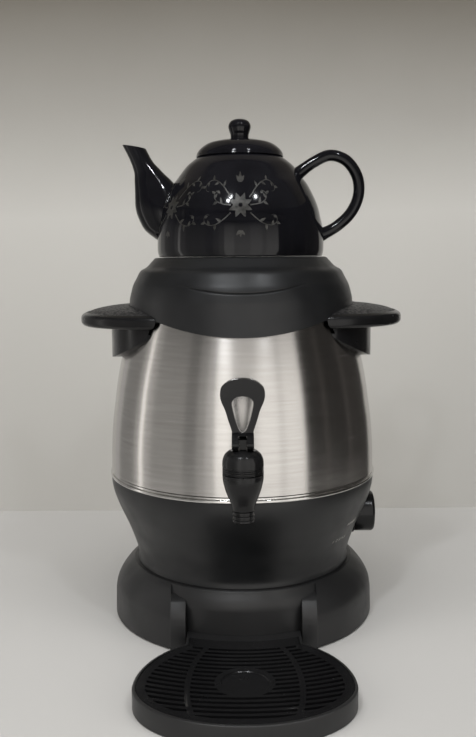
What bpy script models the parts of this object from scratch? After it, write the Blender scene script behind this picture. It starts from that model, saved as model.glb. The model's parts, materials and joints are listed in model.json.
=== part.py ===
"""An electric samovar with a teapot, as an assembly of its real pieces. Metres, +Z up, front at -Y."""

import math

import bmesh
import bpy
from mathutils import Matrix, Vector

# Fits shared by every piece
GAP = 0.0003
OVERRUN = 0.004
WALL = 0.0028
LARGE_STEPS = 32
MIDDLE_STEPS = 24
SMALL_STEPS = 16
TINY_STEPS = 8

# The radius that the body's other radii follow
TANK_RADIUS = 0.1140
RING_PROUD = 0.0012
RING_RADIUS = TANK_RADIUS + RING_PROUD

# Pedestal base
FOOT_PROUD = 0.001
FOOT_RADIUS = 0.008
FOOT_THICKNESS = 0.003
FOOT_INSET = 0.0254
FOOT_ANGLE = math.radians(45)
FOOT_NAMES = ("foot_back_right", "foot_back_left", "foot_front_left", "foot_front_right")
BASE_INSET = 0.0018
BASE_RADIUS = RING_RADIUS - BASE_INSET
BASE_DRAFT = 0.0005
BASE_BAND = 0.020
BASE_HEIGHT = 0.047
BASE_TOP_INSET = 0.0174
BASE_TOP_RADIUS = BASE_RADIUS - BASE_TOP_INSET
BASE_HOLE = 0.030
FOOT_CIRCLE = BASE_RADIUS - FOOT_INSET
RECESS_HALF_WIDTH = 0.046
RECESS_DEPTH = 0.0104
RECESS_RADIUS = BASE_RADIUS - RECESS_DEPTH
RECESS_WALL_TOP = 0.037
CHEEK_WIDTH = 0.0124
CHEEK_HEIGHT = 0.0375
CHEEK_SLOPE = 0.0035
PLATE_THICKNESS = 0.0022
VENT_LENGTH = 0.026
VENT_WIDTH = 0.004
VENT_CIRCLE = 0.060
VENT_COUNT = 6
PEDESTAL_SCREW_COUNT = 3
PEDESTAL_SCREW_ANGLE = math.radians(90)
PEDESTAL_SCREW_SHARE = 0.5

# Drip tray
TRAY_HALF_WIDTH = 0.0785
TRAY_FRONT = 0.055
TRAY_BACK = 0.078
TRAY_STANDOFF = 0.0696
TRAY_CENTRE = BASE_RADIUS + TRAY_STANDOFF
TRAY_HEIGHT = 0.0155
TRAY_FLOOR = 0.002
TRAY_WALL = 0.0022
TRAY_SIDE_STEPS = 8
TRAY_FRONT_STEPS = 24
TONGUE_HALF_WIDTH = 0.045
TONGUE_PROUD = 0.0011
TONGUE_EDGE_RADIUS = BASE_RADIUS + TONGUE_PROUD
TONGUE_DROP = 0.0015
GRILLE_THICKNESS = 0.0028
GRILLE_SINK = 0.0006
GRILLE_BAND = 0.0070
SLOT_PITCH = 0.0060
SLOT_WIDTH = 0.0030
SLOT_STANDOFF = 0.0151
SLOT_FIRST_RADIUS = BASE_RADIUS + SLOT_STANDOFF
SLOT_COUNT = 17
SLOT_STEP = math.radians(9)
RIB_WIDTH = 0.0042
RIB_HALF_WIDTH = 0.0400
RIB_HALF_LENGTH = 0.0850
CUP_DISC_RADIUS = 0.0170
CUP_RING_WIDTH = 0.0045
CUP_DISC_DEPTH = 0.0010
CUP_SHIFT = 0.0040
CUP_CENTRE = TRAY_CENTRE - CUP_SHIFT

# Lower housing and trim ring
HOUSING_HEIGHT = 0.0754
HOUSING_INSET = 0.0030
HOUSING_FOOT_RADIUS = BASE_TOP_RADIUS - HOUSING_INSET
WAIST_INSET = 0.0006
HOUSING_WAIST_RADIUS = HOUSING_FOOT_RADIUS - WAIST_INSET
HOUSING_STEP = 0.0008
HOUSING_TOP_RADIUS = RING_RADIUS - HOUSING_STEP
HOUSING_HOLE = 0.028
RING_HEIGHT = 0.0040
RING_BEAD = 0.0024
RING_CHAMFER = 0.0005
RING_FLANGE = 0.0100
RING_NECK_INSET = 0.0010

# Control knob and its thermostat
KNOB_RADIUS = 0.0177
KNOB_DOME = 0.0012
KNOB_FACE_SHARE = 2 / 3
KNOB_LENGTH = 0.0185
KNOB_STANDOFF = 0.0025
KNOB_BACK = BASE_TOP_RADIUS + KNOB_STANDOFF
KNOB_HEIGHT = 0.0842
KNOB_BORE_DEPTH = 0.0130
DIAL_RADIUS = 0.0189
DIAL_THICKNESS = 0.0014
SPINDLE_RADIUS = 0.0030
THERMOSTAT_SIZE = (0.018, 0.034, 0.026)
LAMP_RADIUS = 0.0032
LAMP_PROUD = 0.0012
LAMP_LENGTH = 0.009
LAMP_ANGLE = math.radians(24)
LAMP_HEIGHT = 0.100

# Power inlet
INLET_FLANGE = (0.034, 0.0020, 0.0260)
INLET_BODY = (0.0285, 0.0200, 0.0210)
INLET_RECESS = (0.0245, 0.0150, 0.0170)
INLET_PIN = (0.0020, 0.0100, 0.0042)
INLET_PIN_SPACING = 0.0070
INLET_PIN_RISE = 0.0020
INLET_STANDOFF = 0.0080
INLET_FACE = HOUSING_FOOT_RADIUS + INLET_STANDOFF
INLET_HEIGHT = 0.0800
TERMINAL_SIZE = (0.030, 0.014, 0.012)
TERMINAL_ANGLE = math.radians(150)

# Tank
TANK_HEIGHT = 0.1565
TANK_WALL = 0.0010
TANK_MOUTH_SHARE = 0.7018
TANK_MOUTH_RADIUS = TANK_RADIUS * TANK_MOUTH_SHARE
PLATE_RADIUS = 0.0620
HEATER_PLATE_THICKNESS = 0.0040
ELEMENT_RADIUS = 0.0450
ELEMENT_TUBE = 0.0033
ELEMENT_STEPS = 28
ELEMENT_GAP_ANGLE = math.radians(40)
CUTOUT_RADIUS = 0.0090
CUTOUT_HEIGHT = 0.0080
CAPILLARY_RADIUS = 0.0012
ROD_RADIUS = 0.0030
ROD_FLANGE_RADIUS = 0.0090
NUT_RADIUS = 0.0060
NUT_HEIGHT = 0.0050
NUT_SIDES = 6
CLAMP_RADIUS = 0.0340

# Top collar and tank lid
COLLAR_COVER = 0.0361
COLLAR_HEIGHT = 0.0605
COLLAR_EDGE_SHARE = 0.8649
COLLAR_EDGE_RADIUS = TANK_RADIUS * COLLAR_EDGE_SHARE
COLLAR_TOP_SHARE = 0.6579
COLLAR_TOP_RADIUS = TANK_RADIUS * COLLAR_TOP_SHARE
COLLAR_EDGE_ARC = 0.2140
COLLAR_EDGE_HALF_WIDTH = 0.066
COLLAR_EDGE_STEPS = 16
COLLAR_SKIN = 0.0022
COLLAR_MOUTH_SHARE = 0.5263
COLLAR_MOUTH_RADIUS = TANK_RADIUS * COLLAR_MOUTH_SHARE
COLLAR_LEDGE_DROP = 0.0052
CREASE_RISE = 0.0330
CREASE_HALF_WIDTH = 0.0500
CREASE_ARC = 0.1920
CREASE_WIDTH = 0.0012
CREASE_DEPTH = 0.0009
CREASE_STEPS = 16
CREASE_FADE_SHARE = 0.8
CREASE_FADE_POWER = 4
LID_SHARE = 0.5833
LID_RADIUS = TANK_RADIUS * LID_SHARE
LID_SKIN = 0.0020
LID_BAND = 0.0100
LID_DISH = 0.0100
LID_KNOB_RADIUS = 0.0100
LID_KNOB_FACE_SHARE = 0.75
VENT_HOLE_RADIUS = 0.0026
VENT_HOLE_CIRCLE = 0.0330
VENT_HOLE_COUNT = 8
VENT_HOLE_TURN = math.radians(5)
GASKET_THICKNESS = 0.0014

# Handles
HANDLE_PROUD = 0.0235
HANDLE_TIP = TANK_RADIUS + HANDLE_PROUD
HANDLE_CENTRE_INSET = 0.0540
HANDLE_CENTRE = TANK_RADIUS - HANDLE_CENTRE_INSET
HANDLE_HALF_SPAN = 0.0700
HANDLE_RISE = 0.0037
HANDLE_EDGE = 0.0095
HANDLE_CROWN = 0.0085
CROWN_POWER = 4
CROWN_SHARES = (0, 0.35, 0.6, 0.8, 1.0)
INLAY_MARGIN = 0.0050
INLAY_DEPTH = 0.0014
CORBEL_INSET = 0.0260
CORBEL_REACH = HANDLE_TIP - CORBEL_INSET
CORBEL_DROP = 0.0274
CORBEL_HALF_SPAN = 0.0680
HANDLE_SCREW_LENGTH = 0.0140
SCREW_RADIUS = 0.0018
SCREW_HEAD_RADIUS = 0.0035
SCREW_HEAD_HEIGHT = 0.0022

# Tap
TAP_STANDOFF = 0.0360
TAP_REACH = TANK_RADIUS + TAP_STANDOFF
TAP_SEAM_RISE = 0.0289
TAP_RADIUS = 0.0148
TAP_BODY_HEIGHT = 0.0267
NOZZLE_RADIUS = 0.0080
NOZZLE_LENGTH = 0.0090
NOZZLE_BORE = 0.0056
NOZZLE_RIB = 0.0006
NOZZLE_RIB_COUNT = 3
TAP_CHAMBER = 0.0095
TAP_THROAT = 0.0042
TAP_SEAT_RISE = 0.0075
SHANK_RADIUS = 0.0062
SHANK_BORE = 0.0040
SHANK_DROP = 0.0110
SHANK_INSET = 0.0140
SHANK_END = TANK_RADIUS - SHANK_INSET
FLANGE_RADIUS = 0.0115
FLANGE_THICKNESS = 0.0030
WASHER_THICKNESS = 0.0020
TAP_NUT_RADIUS = 0.0100
TAP_NUT_THICKNESS = 0.0045
BONNET_HEIGHT = 0.0168
BONNET_NECK_RADIUS = 0.0085
BONNET_TOP_WALL = 0.0050
BONNET_RIDGE = 0.0005
BONNET_RIDGE_COUNT = 3
STEM_RADIUS = 0.0024
STEM_HEAD_WIDTH = 0.0052
STEM_HEAD_DEPTH = 0.0080
CUP_RADIUS = 0.0072
CUP_HEIGHT = 0.0070
CUP_TOP_SHARE = 2 / 3
SPRING_RADIUS = 0.0060
SPRING_WIRE = 0.0006
SPRING_TURNS = 6
SPRING_TURN_STEPS = 8
PIN_RADIUS = 0.0015
PIN_RISE = 0.0062
TAP_LIFT = 0.0040
TAP_SWING = math.radians(60)
CAM_STEPS = 6
LEVER_TOP = 0.0450
LEVER_HALF_WIDTH = 0.0160
LEVER_FOOT_HALF_WIDTH = 0.0078
LEVER_FOOT_HEIGHT = 0.0062
LEVER_SLOT_HALF_WIDTH = 0.0030
LEVER_THICKNESS = 0.0075
LEVER_HOLE_LOW = 0.0066
LEVER_HOLE_TOP = 0.0327
LEVER_HOLE_HALF_WIDTH = 0.0076

# Teapot
POT_SHARE = 1.0647
POT_RADIUS = LID_RADIUS * POT_SHARE
POT_HEIGHT = 0.0822
POT_WALL = 0.0035
POT_MOUTH_SHARE = 0.4661
POT_MOUTH_RADIUS = POT_RADIUS * POT_MOUTH_SHARE
POT_FOOT_HEIGHT = 0.0030
POT_FOOT_WIDTH = 0.0060
POT_LID_SHARE = 0.5254
POT_LID_RADIUS = POT_RADIUS * POT_LID_SHARE
POT_LID_RISE = 0.0158
POT_KNOB_RADIUS = 0.0095
POT_KNOB_HEIGHT = 0.0165
SPOUT_SHARE = 1.3418
SPOUT_REACH = POT_RADIUS * SPOUT_SHARE
SPOUT_ROOT_RADIUS = 0.0170
SPOUT_TIP_RADIUS = 0.0085
SPOUT_TIP_SLOPE_SHARE = 0.2
SPOUT_BORE_SHARE = 0.62
SPOUT_STEPS = 16
POT_HANDLE_RADIUS = 0.0048
POT_HANDLE_FLARE_SHARE = 0.5
POT_HANDLE_FLARE_POINTS = 4

# Heights that follow from the sizes above, counted from the table
BASE_LOW = FOOT_PROUD
BASE_TOP = BASE_LOW + BASE_HEIGHT
HOUSING_LOW = BASE_TOP + GAP
HOUSING_TOP = HOUSING_LOW + HOUSING_HEIGHT
RING_LOW = HOUSING_TOP + GAP
RING_TOP = RING_LOW + RING_HEIGHT
TANK_LOW = RING_TOP + GAP
TANK_TOP = TANK_LOW + TANK_HEIGHT
TAP_SEAM_HEIGHT = TANK_LOW + TAP_SEAM_RISE
COLLAR_LOW = TANK_TOP - COLLAR_COVER
HANDLE_LOW = COLLAR_LOW + HANDLE_RISE
COLLAR_TOP = COLLAR_LOW + COLLAR_HEIGHT
COLLAR_LEDGE = COLLAR_TOP - COLLAR_LEDGE_DROP
POT_LOW = COLLAR_TOP + 2 * GAP

# The box round everything is centred on the origin, so the body stands this far behind it
BODY_OFFSET = (TRAY_CENTRE + TRAY_FRONT - RING_RADIUS) / 2


def clear_scene():
    for item in list(bpy.data.objects):
        bpy.data.objects.remove(item)


clear_scene()
PARTS = bpy.data.collections.new("samovar")
CUTTERS = bpy.data.collections.new("cutters")
bpy.context.scene.collection.children.link(PARTS)
bpy.context.scene.collection.children.link(CUTTERS)
BODY = bpy.data.objects.new("body_axis", None)
BODY.location = (0, BODY_OFFSET, 0)
PARTS.objects.link(BODY)


def material(name, colour, roughness, metallic=0.0):
    made = bpy.data.materials.new(name)
    made.use_nodes = True
    shader = made.node_tree.nodes["Principled BSDF"]
    shader.inputs["Base Color"].default_value = (*colour, 1.0)
    shader.inputs["Roughness"].default_value = roughness
    shader.inputs["Metallic"].default_value = metallic
    made.diffuse_color = (*colour, 1.0)
    return made


CHARCOAL = material("charcoal_plastic", (0.060, 0.060, 0.062), 0.45)
SATIN = material("satin_black_plastic", (0.035, 0.036, 0.038), 0.38)
GLOSS = material("gloss_black_plastic", (0.012, 0.012, 0.013), 0.15)
TEXTURED = material("textured_black_plastic", (0.030, 0.030, 0.031), 0.60)
RUBBER = material("black_rubber", (0.025, 0.025, 0.025), 0.80)
SILICONE = material("clear_silicone", (0.70, 0.70, 0.68), 0.50)
STEEL = material("brushed_steel", (0.62, 0.60, 0.58), 0.28, 1.0)
POLISHED = material("polished_steel", (0.80, 0.79, 0.77), 0.10, 1.0)
ZINC = material("plated_steel", (0.60, 0.60, 0.60), 0.35, 1.0)
ALUMINIUM = material("cast_aluminium", (0.68, 0.68, 0.69), 0.45, 1.0)
COPPER = material("copper_tube", (0.72, 0.42, 0.28), 0.35, 1.0)
GLAZE = material("black_glaze", (0.008, 0.008, 0.010), 0.06)
LENS = material("amber_lens", (0.90, 0.35, 0.05), 0.20)
PHENOLIC = material("white_ceramic", (0.75, 0.73, 0.68), 0.50)


def place(name, mesh, finish, location=(0, 0, 0), rotation=(0, 0, 0), cutter=False):
    """Puts a mesh in the scene under the body's axis, as a piece or as a cutter."""
    piece = bpy.data.objects.new(name, mesh)
    piece.parent = BODY
    piece.location = location
    piece.rotation_euler = rotation
    if cutter:
        CUTTERS.objects.link(piece)
        piece.hide_render = True
        piece.display_type = "WIRE"
        return piece
    PARTS.objects.link(piece)
    mesh.materials.append(finish)
    return piece


def turned(name, profile, finish=None, steps=LARGE_STEPS, location=(0, 0, 0), rotation=(0, 0, 0)):
    """A profile of (radius, height) points turned about Z. Without a finish it is a cutter."""
    points = list(profile)
    on_axis = points[0][0] == 0 and points[-1][0] == 0
    area = sum(a[0] * b[1] - b[0] * a[1] for a, b in zip(points, points[1:] + points[:1]))
    if area > 0:
        points.reverse()
    mesh = bpy.data.meshes.new(name)
    edges = [(i, i + 1) for i in range(len(points) - 1)]
    if not on_axis:
        edges.append((len(points) - 1, 0))
    mesh.from_pydata([(r, 0, z) for r, z in points], edges, [])
    piece = place(name, mesh, finish, location, rotation, finish is None)
    screw = piece.modifiers.new("turn", "SCREW")
    screw.steps = steps
    screw.render_steps = steps
    screw.use_merge_vertices = True
    screw.merge_threshold = GAP / 6
    screw.use_smooth_shade = True
    return piece


def disc(radius, low, high):
    return [(0, high), (radius, high), (radius, low), (0, low)]


def band(inner, outer, low, high):
    return [(inner, high), (outer, high), (outer, low), (inner, low)]


def box(name, size, centre, finish=None):
    shape = bmesh.new()
    bmesh.ops.create_cube(shape, size=1.0, matrix=Matrix.Diagonal((*size, 1)))
    mesh = bpy.data.meshes.new(name)
    shape.to_mesh(mesh)
    shape.free()
    return place(name, mesh, finish, centre, cutter=finish is None)


def prism(name, outline, low, high, finish=None, location=(0, 0, 0), rotation=(0, 0, 0)):
    """A flat outline in X and Y between two heights."""
    curve = bpy.data.curves.new(name, "CURVE")
    curve.dimensions = "2D"
    curve.fill_mode = "BOTH"
    curve.extrude = (high - low) / 2
    spline = curve.splines.new("POLY")
    spline.points.add(len(outline) - 1)
    for point, (x, y) in zip(spline.points, outline):
        point.co = (x, y, 0, 1)
    spline.use_cyclic_u = True
    mesh = mesh_of(curve, name)
    mesh.transform(Matrix.Translation((0, 0, (low + high) / 2)))
    return place(name, mesh, finish, location, rotation, finish is None)


def mesh_of(curve, name):
    """The closed mesh of a curve, with its caps welded to its sides."""
    helper = bpy.data.objects.new(name + "_curve", curve)
    CUTTERS.objects.link(helper)
    graph = bpy.context.evaluated_depsgraph_get()
    mesh = bpy.data.meshes.new_from_object(helper.evaluated_get(graph))
    bpy.data.objects.remove(helper)
    shape = bmesh.new()
    shape.from_mesh(mesh)
    bmesh.ops.remove_doubles(shape, verts=shape.verts, dist=GAP / 100)
    bmesh.ops.recalc_face_normals(shape, faces=shape.faces)
    shape.to_mesh(mesh)
    shape.free()
    return mesh


def tube(name, points, radius, finish=None, radii=None, sides=2, location=(0, 0, 0)):
    """A round bar along points, with its radius as shares of the given one."""
    curve = bpy.data.curves.new(name, "CURVE")
    curve.dimensions = "3D"
    curve.bevel_depth = radius
    curve.bevel_resolution = sides
    curve.use_fill_caps = True
    spline = curve.splines.new("POLY")
    spline.points.add(len(points) - 1)
    for i, (point, place_at) in enumerate(zip(spline.points, points)):
        point.co = (*place_at, 1)
        point.radius = radii[i] if radii else 1
    return place(name, mesh_of(curve, name), finish, location, cutter=finish is None)


def rod(name, radius, start, end, finish=None, steps=SMALL_STEPS):
    """A straight cylinder from one point to another."""
    start, end = Vector(start), Vector(end)
    shape = bmesh.new()
    bmesh.ops.create_cone(shape, cap_ends=True, segments=steps, radius1=radius, radius2=radius,
                          depth=(end - start).length)
    mesh = bpy.data.meshes.new(name)
    turn = (end - start).to_track_quat("Z", "Y").to_matrix().to_4x4()
    shape.transform(turn)
    shape.to_mesh(mesh)
    shape.free()
    mesh.shade_smooth()
    mesh.set_sharp_from_angle(angle=math.radians(40))
    return place(name, mesh, finish, (start + end) / 2, cutter=finish is None)


def nut(name, radius, bore, low, high, location=(0, 0, 0), rotation=(0, 0, 0)):
    """A hexagonal nut with a round bore."""
    piece = turned(name, disc(radius, low, high), ZINC, NUT_SIDES, location, rotation)
    return cut(piece, turned(name + "_bore", disc(bore, low - OVERRUN, high + OVERRUN), None, SMALL_STEPS,
                             location, rotation))


def combine(piece, operation, *others):
    for other in others:
        modifier = piece.modifiers.new(operation.lower() + "_" + other.name, "BOOLEAN")
        modifier.operation = operation
        modifier.object = other
        modifier.solver = "EXACT"
    return piece


def cut(piece, *others):
    return combine(piece, "DIFFERENCE", *others)


def join(piece, *others):
    return combine(piece, "UNION", *others)


def keep(piece, *others):
    return combine(piece, "INTERSECT", *others)


def scaled(shares, low, high, inner, outer):
    """Outline points from shares of a height and of a radius range."""
    return [(inner + (outer - inner) * r, low + (high - low) * h) for r, h in shares]


def radius_at(profile, height):
    """The radius of an outline, listed bottom to top, at a height."""
    for (r1, z1), (r2, z2) in zip(profile, profile[1:]):
        if z1 <= height <= z2:
            return r1 + (r2 - r1) * (height - z1) / (z2 - z1)
    return profile[-1][0] if height > profile[-1][1] else profile[0][0]


def shifted(profile, dr, low=None, high=None):
    """The same outline grown by dr, and kept between two heights."""
    points = [(r + dr, z) for r, z in profile]
    low = profile[0][1] if low is None else low
    high = profile[-1][1] if high is None else high
    inside = [p for p in points if low < p[1] < high]
    return [(radius_at(profile, low) + dr, low)] + inside + [(radius_at(profile, high) + dr, high)]


# Outlines of the large turned pieces, bottom to top, as (radius share, height share)
FLARE_SHARES = [(1.0, 0.0), (0.93, 0.25), (0.765, 0.47), (0.53, 0.68), (0.26, 0.87), (0.0, 1.0)]
HOUSING_SHARES = [(0.027, 0.0), (0.0, 0.069), (0.073, 0.180), (0.214, 0.305), (0.368, 0.426),
                  (0.561, 0.554), (0.709, 0.6525), (0.832, 0.745), (0.909, 0.812), (0.964, 0.878),
                  (0.991, 0.938), (1.0, 1.0)]
TANK_SHARES = [(1.0, 0.0), (0.9957, 0.132), (0.9823, 0.2666), (0.9622, 0.378), (0.9411, 0.487),
               (0.908, 0.608), (0.8537, 0.764), (0.8045, 0.887), (0.7633, 1.0)]
COLLAR_SHARES = [(1.0, 0.0), (0.970, 0.06), (0.915, 0.22), (0.873, 0.37), (0.856, 0.437),
                 (0.797, 0.535), (0.720, 0.630), (0.610, 0.712), (0.500, 0.795), (0.411, 0.832),
                 (0.246, 0.866), (0.136, 0.907), (0.030, 0.952), (-0.05, 0.985)]
FLARE = scaled(FLARE_SHARES, BASE_LOW + BASE_BAND, BASE_TOP, BASE_TOP_RADIUS, BASE_RADIUS - BASE_DRAFT)
HOUSING = scaled(HOUSING_SHARES, HOUSING_LOW, HOUSING_TOP, HOUSING_WAIST_RADIUS, HOUSING_TOP_RADIUS)
TANK = scaled(TANK_SHARES, TANK_LOW, TANK_TOP, 0, TANK_RADIUS)
COLLAR = scaled(COLLAR_SHARES, COLLAR_LOW, COLLAR_TOP, COLLAR_TOP_RADIUS, COLLAR_EDGE_RADIUS)


def arc_points(radius, first, last, count, centre=(0, 0)):
    return [(centre[0] + radius * math.cos(first + (last - first) * i / count),
             centre[1] + radius * math.sin(first + (last - first) * i / count)) for i in range(count + 1)]


def oval(half_width, half_length, count, first=0.0, last=2 * math.pi, closed=True):
    """Points of an ellipse in X and Y."""
    steps = count if closed else count + 1
    return [(half_width * math.cos(first + (last - first) * i / count),
             half_length * math.sin(first + (last - first) * i / count)) for i in range(steps)]


def recess_cutter(name, grow):
    """The space in front of the recess wall, wide enough for both cheeks."""
    wall = RECESS_RADIUS - grow
    outside = BASE_RADIUS + OVERRUN
    top_radius = BASE_TOP_RADIUS - grow
    low, high = BASE_LOW - 2 * OVERRUN, BASE_TOP + 2 * OVERRUN
    profile = [(wall, low), (wall, BASE_LOW + RECESS_WALL_TOP), (top_radius, BASE_TOP), (top_radius, high),
               (outside, high), (outside, low)]
    ring = turned(name, profile)
    half = RECESS_HALF_WIDTH + CHEEK_WIDTH + grow
    window = box(name + "_window", (2 * half, outside, BASE_HEIGHT * 2),
                 (0, -(BASE_TOP_RADIUS / 2 + outside / 2), BASE_TOP / 2))
    return keep(ring, window)


def pedestal_base():
    outer = [(BASE_RADIUS, BASE_LOW)] + FLARE
    shell = turned("pedestal_base", [(0, BASE_LOW)] + outer + [(0, BASE_TOP)], CHARCOAL)
    cut(shell, recess_cutter("recess", 0))
    middle = RECESS_HALF_WIDTH + CHEEK_WIDTH / 2
    cheek_top = BASE_LOW + CHEEK_HEIGHT
    side = [(math.sqrt(r * r - middle * middle), z) for r, z in shifted(outer, 0, BASE_LOW, cheek_top)]
    inner = math.sqrt(RECESS_RADIUS ** 2 - middle ** 2) - 2 * WALL
    outline = [(inner, BASE_LOW)] + side + [(inner, cheek_top + CHEEK_SLOPE)]
    for sign, label in ((1, "right"), (-1, "left")):
        low = middle - CHEEK_WIDTH / 2
        cheek = prism("cheek_" + label, outline, low, low + CHEEK_WIDTH)
        # The outline's first axis points to the front and its second one up
        swap = Matrix(((0, 0, 1, 0), (-1, 0, 0, 0), (0, 1, 0, 0), (0, 0, 0, 1)))
        flip = Matrix.Diagonal((sign, 1, 1, 1))
        cheek.data.transform(flip @ swap)
        if (flip @ swap).determinant() < 0:
            cheek.data.flip_normals()
        join(shell, cheek)
    inside = [(r - WALL, z) for r, z in outer[:-1]]
    deck = BASE_TOP - WALL
    cavity = turned("pedestal_hollow", [(0, BASE_LOW - OVERRUN), (inside[0][0], BASE_LOW - OVERRUN)]
                    + inside[1:-1] + [(radius_at(inside, deck), deck), (0, deck)])
    cut(cavity, recess_cutter("recess_guard", WALL))
    cut(shell, cavity)
    cut(shell, rod("pedestal_hole", BASE_HOLE, (0, 0, deck - OVERRUN), (0, 0, BASE_TOP + OVERRUN)))
    for i in range(PEDESTAL_SCREW_COUNT):
        x, y = screw_place(i)
        cut(shell, rod(f"pedestal_screw_hole_{i}", SCREW_RADIUS + GAP, (x, y, deck - OVERRUN),
                       (x, y, BASE_TOP + OVERRUN), steps=TINY_STEPS))
    return shell


def screw_place(i):
    """The screws hold the pedestal to the housing, midway between its hole and its edge."""
    turn = PEDESTAL_SCREW_ANGLE + 2 * math.pi * i / PEDESTAL_SCREW_COUNT
    circle = BASE_HOLE + (BASE_TOP_RADIUS - BASE_HOLE) * PEDESTAL_SCREW_SHARE
    return circle * math.cos(turn), circle * math.sin(turn)


def pedestal_screws():
    deck = BASE_TOP - WALL
    for i in range(PEDESTAL_SCREW_COUNT):
        x, y = screw_place(i)
        head = band(0, SCREW_HEAD_RADIUS, deck - GAP - SCREW_HEAD_HEIGHT, deck - GAP)
        shank_top = HOUSING_LOW + 2 * WALL
        profile = [(0, shank_top), (SCREW_RADIUS, shank_top), (SCREW_RADIUS, head[0][1])] + head[1:]
        turned(f"pedestal_screw_{i + 1}", profile, ZINC, TINY_STEPS, (x, y, 0))


def base_plate():
    low = FOOT_THICKNESS + GAP
    radius = BASE_RADIUS - WALL - 2 * GAP
    plate = turned("base_plate", disc(radius, low, low + PLATE_THICKNESS), CHARCOAL)
    for i in range(VENT_COUNT):
        turn = math.pi * (2 * i + 1) / VENT_COUNT
        slot = box(f"base_vent_{i}", (VENT_LENGTH, VENT_WIDTH, 2 * (PLATE_THICKNESS + OVERRUN)),
                   (VENT_CIRCLE * math.cos(turn), VENT_CIRCLE * math.sin(turn), low))
        slot.rotation_euler = (0, 0, turn)
        cut(plate, slot)
    cut(plate, recess_cutter("plate_recess", WALL + GAP))
    return plate


def feet():
    for i, name in enumerate(FOOT_NAMES):
        turn = FOOT_ANGLE + 2 * math.pi * i / len(FOOT_NAMES)
        x, y = FOOT_CIRCLE * math.cos(turn), FOOT_CIRCLE * math.sin(turn)
        turned(name, disc(FOOT_RADIUS, 0, FOOT_THICKNESS), RUBBER, SMALL_STEPS, (x, y, 0))


def tray_outline(inset, tongue_inset, back_radius):
    """The oval tray with its tongue, whose back edge is an arc round the body's axis."""
    width, front, back = TRAY_HALF_WIDTH - inset, TRAY_FRONT - inset, TRAY_BACK - inset
    tongue = TONGUE_HALF_WIDTH - tongue_inset
    joint = math.asin(math.sqrt(1 - (tongue / width) ** 2))
    points = [(x, y - TRAY_CENTRE) for x, y in oval(width, back, TRAY_SIDE_STEPS, math.pi - joint,
                                                         math.pi, False)]
    points += [(x, y - TRAY_CENTRE) for x, y in oval(width, front, TRAY_FRONT_STEPS, math.pi,
                                                     2 * math.pi, False)[1:]]
    points += [(x, y - TRAY_CENTRE) for x, y in oval(width, back, TRAY_SIDE_STEPS, 0, joint, False)[1:]]
    swing = math.asin(tongue / back_radius)
    points += arc_points(back_radius, -math.pi / 2 + swing, -math.pi / 2 - swing, TRAY_SIDE_STEPS)
    return points


def drip_tray_pan():
    back = RECESS_RADIUS + GAP
    pan = prism("drip_tray_pan", tray_outline(0, 0, back), 0, TRAY_HEIGHT, CHARCOAL)
    edge = TONGUE_EDGE_RADIUS
    seat = TRAY_HEIGHT - GRILLE_SINK - GRILLE_THICKNESS - GAP
    ledge = tray_outline(TRAY_WALL, TRAY_WALL, edge)
    cut(pan, prism("grille_seat", ledge, seat, TRAY_HEIGHT + OVERRUN))
    bowl = tray_outline(2 * TRAY_WALL, 2 * TRAY_WALL, edge + TRAY_WALL)
    cut(pan, prism("tray_bowl", bowl, TRAY_FLOOR, TRAY_HEIGHT))
    tongue_top = TRAY_HEIGHT - TONGUE_DROP
    step = keep(turned("tongue_step", band(back - OVERRUN, edge + TRAY_WALL / 2, tongue_top,
                                           TRAY_HEIGHT + OVERRUN)),
                box("tongue_window", (2 * TRAY_HALF_WIDTH, edge, TRAY_HEIGHT * 3), (0, -edge, TRAY_HEIGHT)))
    cut(pan, step)
    pocket = keep(turned("tongue_pocket", band(back + WALL, edge - TRAY_WALL, -OVERRUN, tongue_top - WALL)),
                  box("pocket_window", (2 * (TONGUE_HALF_WIDTH - WALL), edge, TRAY_HEIGHT * 3),
                      (0, -edge, 0)))
    cut(pan, pocket)
    return pan


def drip_tray_grille():
    high = TRAY_HEIGHT - GRILLE_SINK
    low = high - GRILLE_THICKNESS
    edge = TONGUE_EDGE_RADIUS
    outline = tray_outline(TRAY_WALL + GAP, TRAY_WALL + GAP, edge + GAP)
    grille = prism("drip_tray_grille", outline, low, high, GLOSS)
    field = tray_outline(TRAY_WALL + GRILLE_BAND, TRAY_WALL + GRILLE_BAND / 2, edge + GRILLE_BAND)
    slots = prism("slot_field", field, low - OVERRUN, high + OVERRUN)
    rings = slot_rings(low - OVERRUN * 2, high + OVERRUN * 2)
    keep(slots, rings)
    outer = [(x, y - TRAY_CENTRE) for x, y in oval(RIB_HALF_WIDTH + RIB_WIDTH / 2, RIB_HALF_LENGTH,
                                                   TRAY_FRONT_STEPS)]
    inner = [(x, y - TRAY_CENTRE) for x, y in oval(RIB_HALF_WIDTH - RIB_WIDTH / 2,
                                                   RIB_HALF_LENGTH - RIB_WIDTH, TRAY_FRONT_STEPS)]
    ribs = prism("slot_ribs", outer, low - OVERRUN * 3, high + OVERRUN * 3)
    cut(ribs, prism("slot_ribs_inside", inner, low - OVERRUN * 4, high + OVERRUN * 4))
    cut(slots, ribs)
    ring_radius = CUP_DISC_RADIUS + CUP_RING_WIDTH
    cut(slots, turned("cup_ring", disc(ring_radius, low - OVERRUN * 3, high + OVERRUN * 3), None,
                      SMALL_STEPS, (0, -CUP_CENTRE, 0)))
    cut(grille, slots)
    cut(grille, turned("cup_dish", disc(CUP_DISC_RADIUS, high - CUP_DISC_DEPTH, high + OVERRUN), None,
                       SMALL_STEPS, (0, -CUP_CENTRE, 0)))
    return grille


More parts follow.
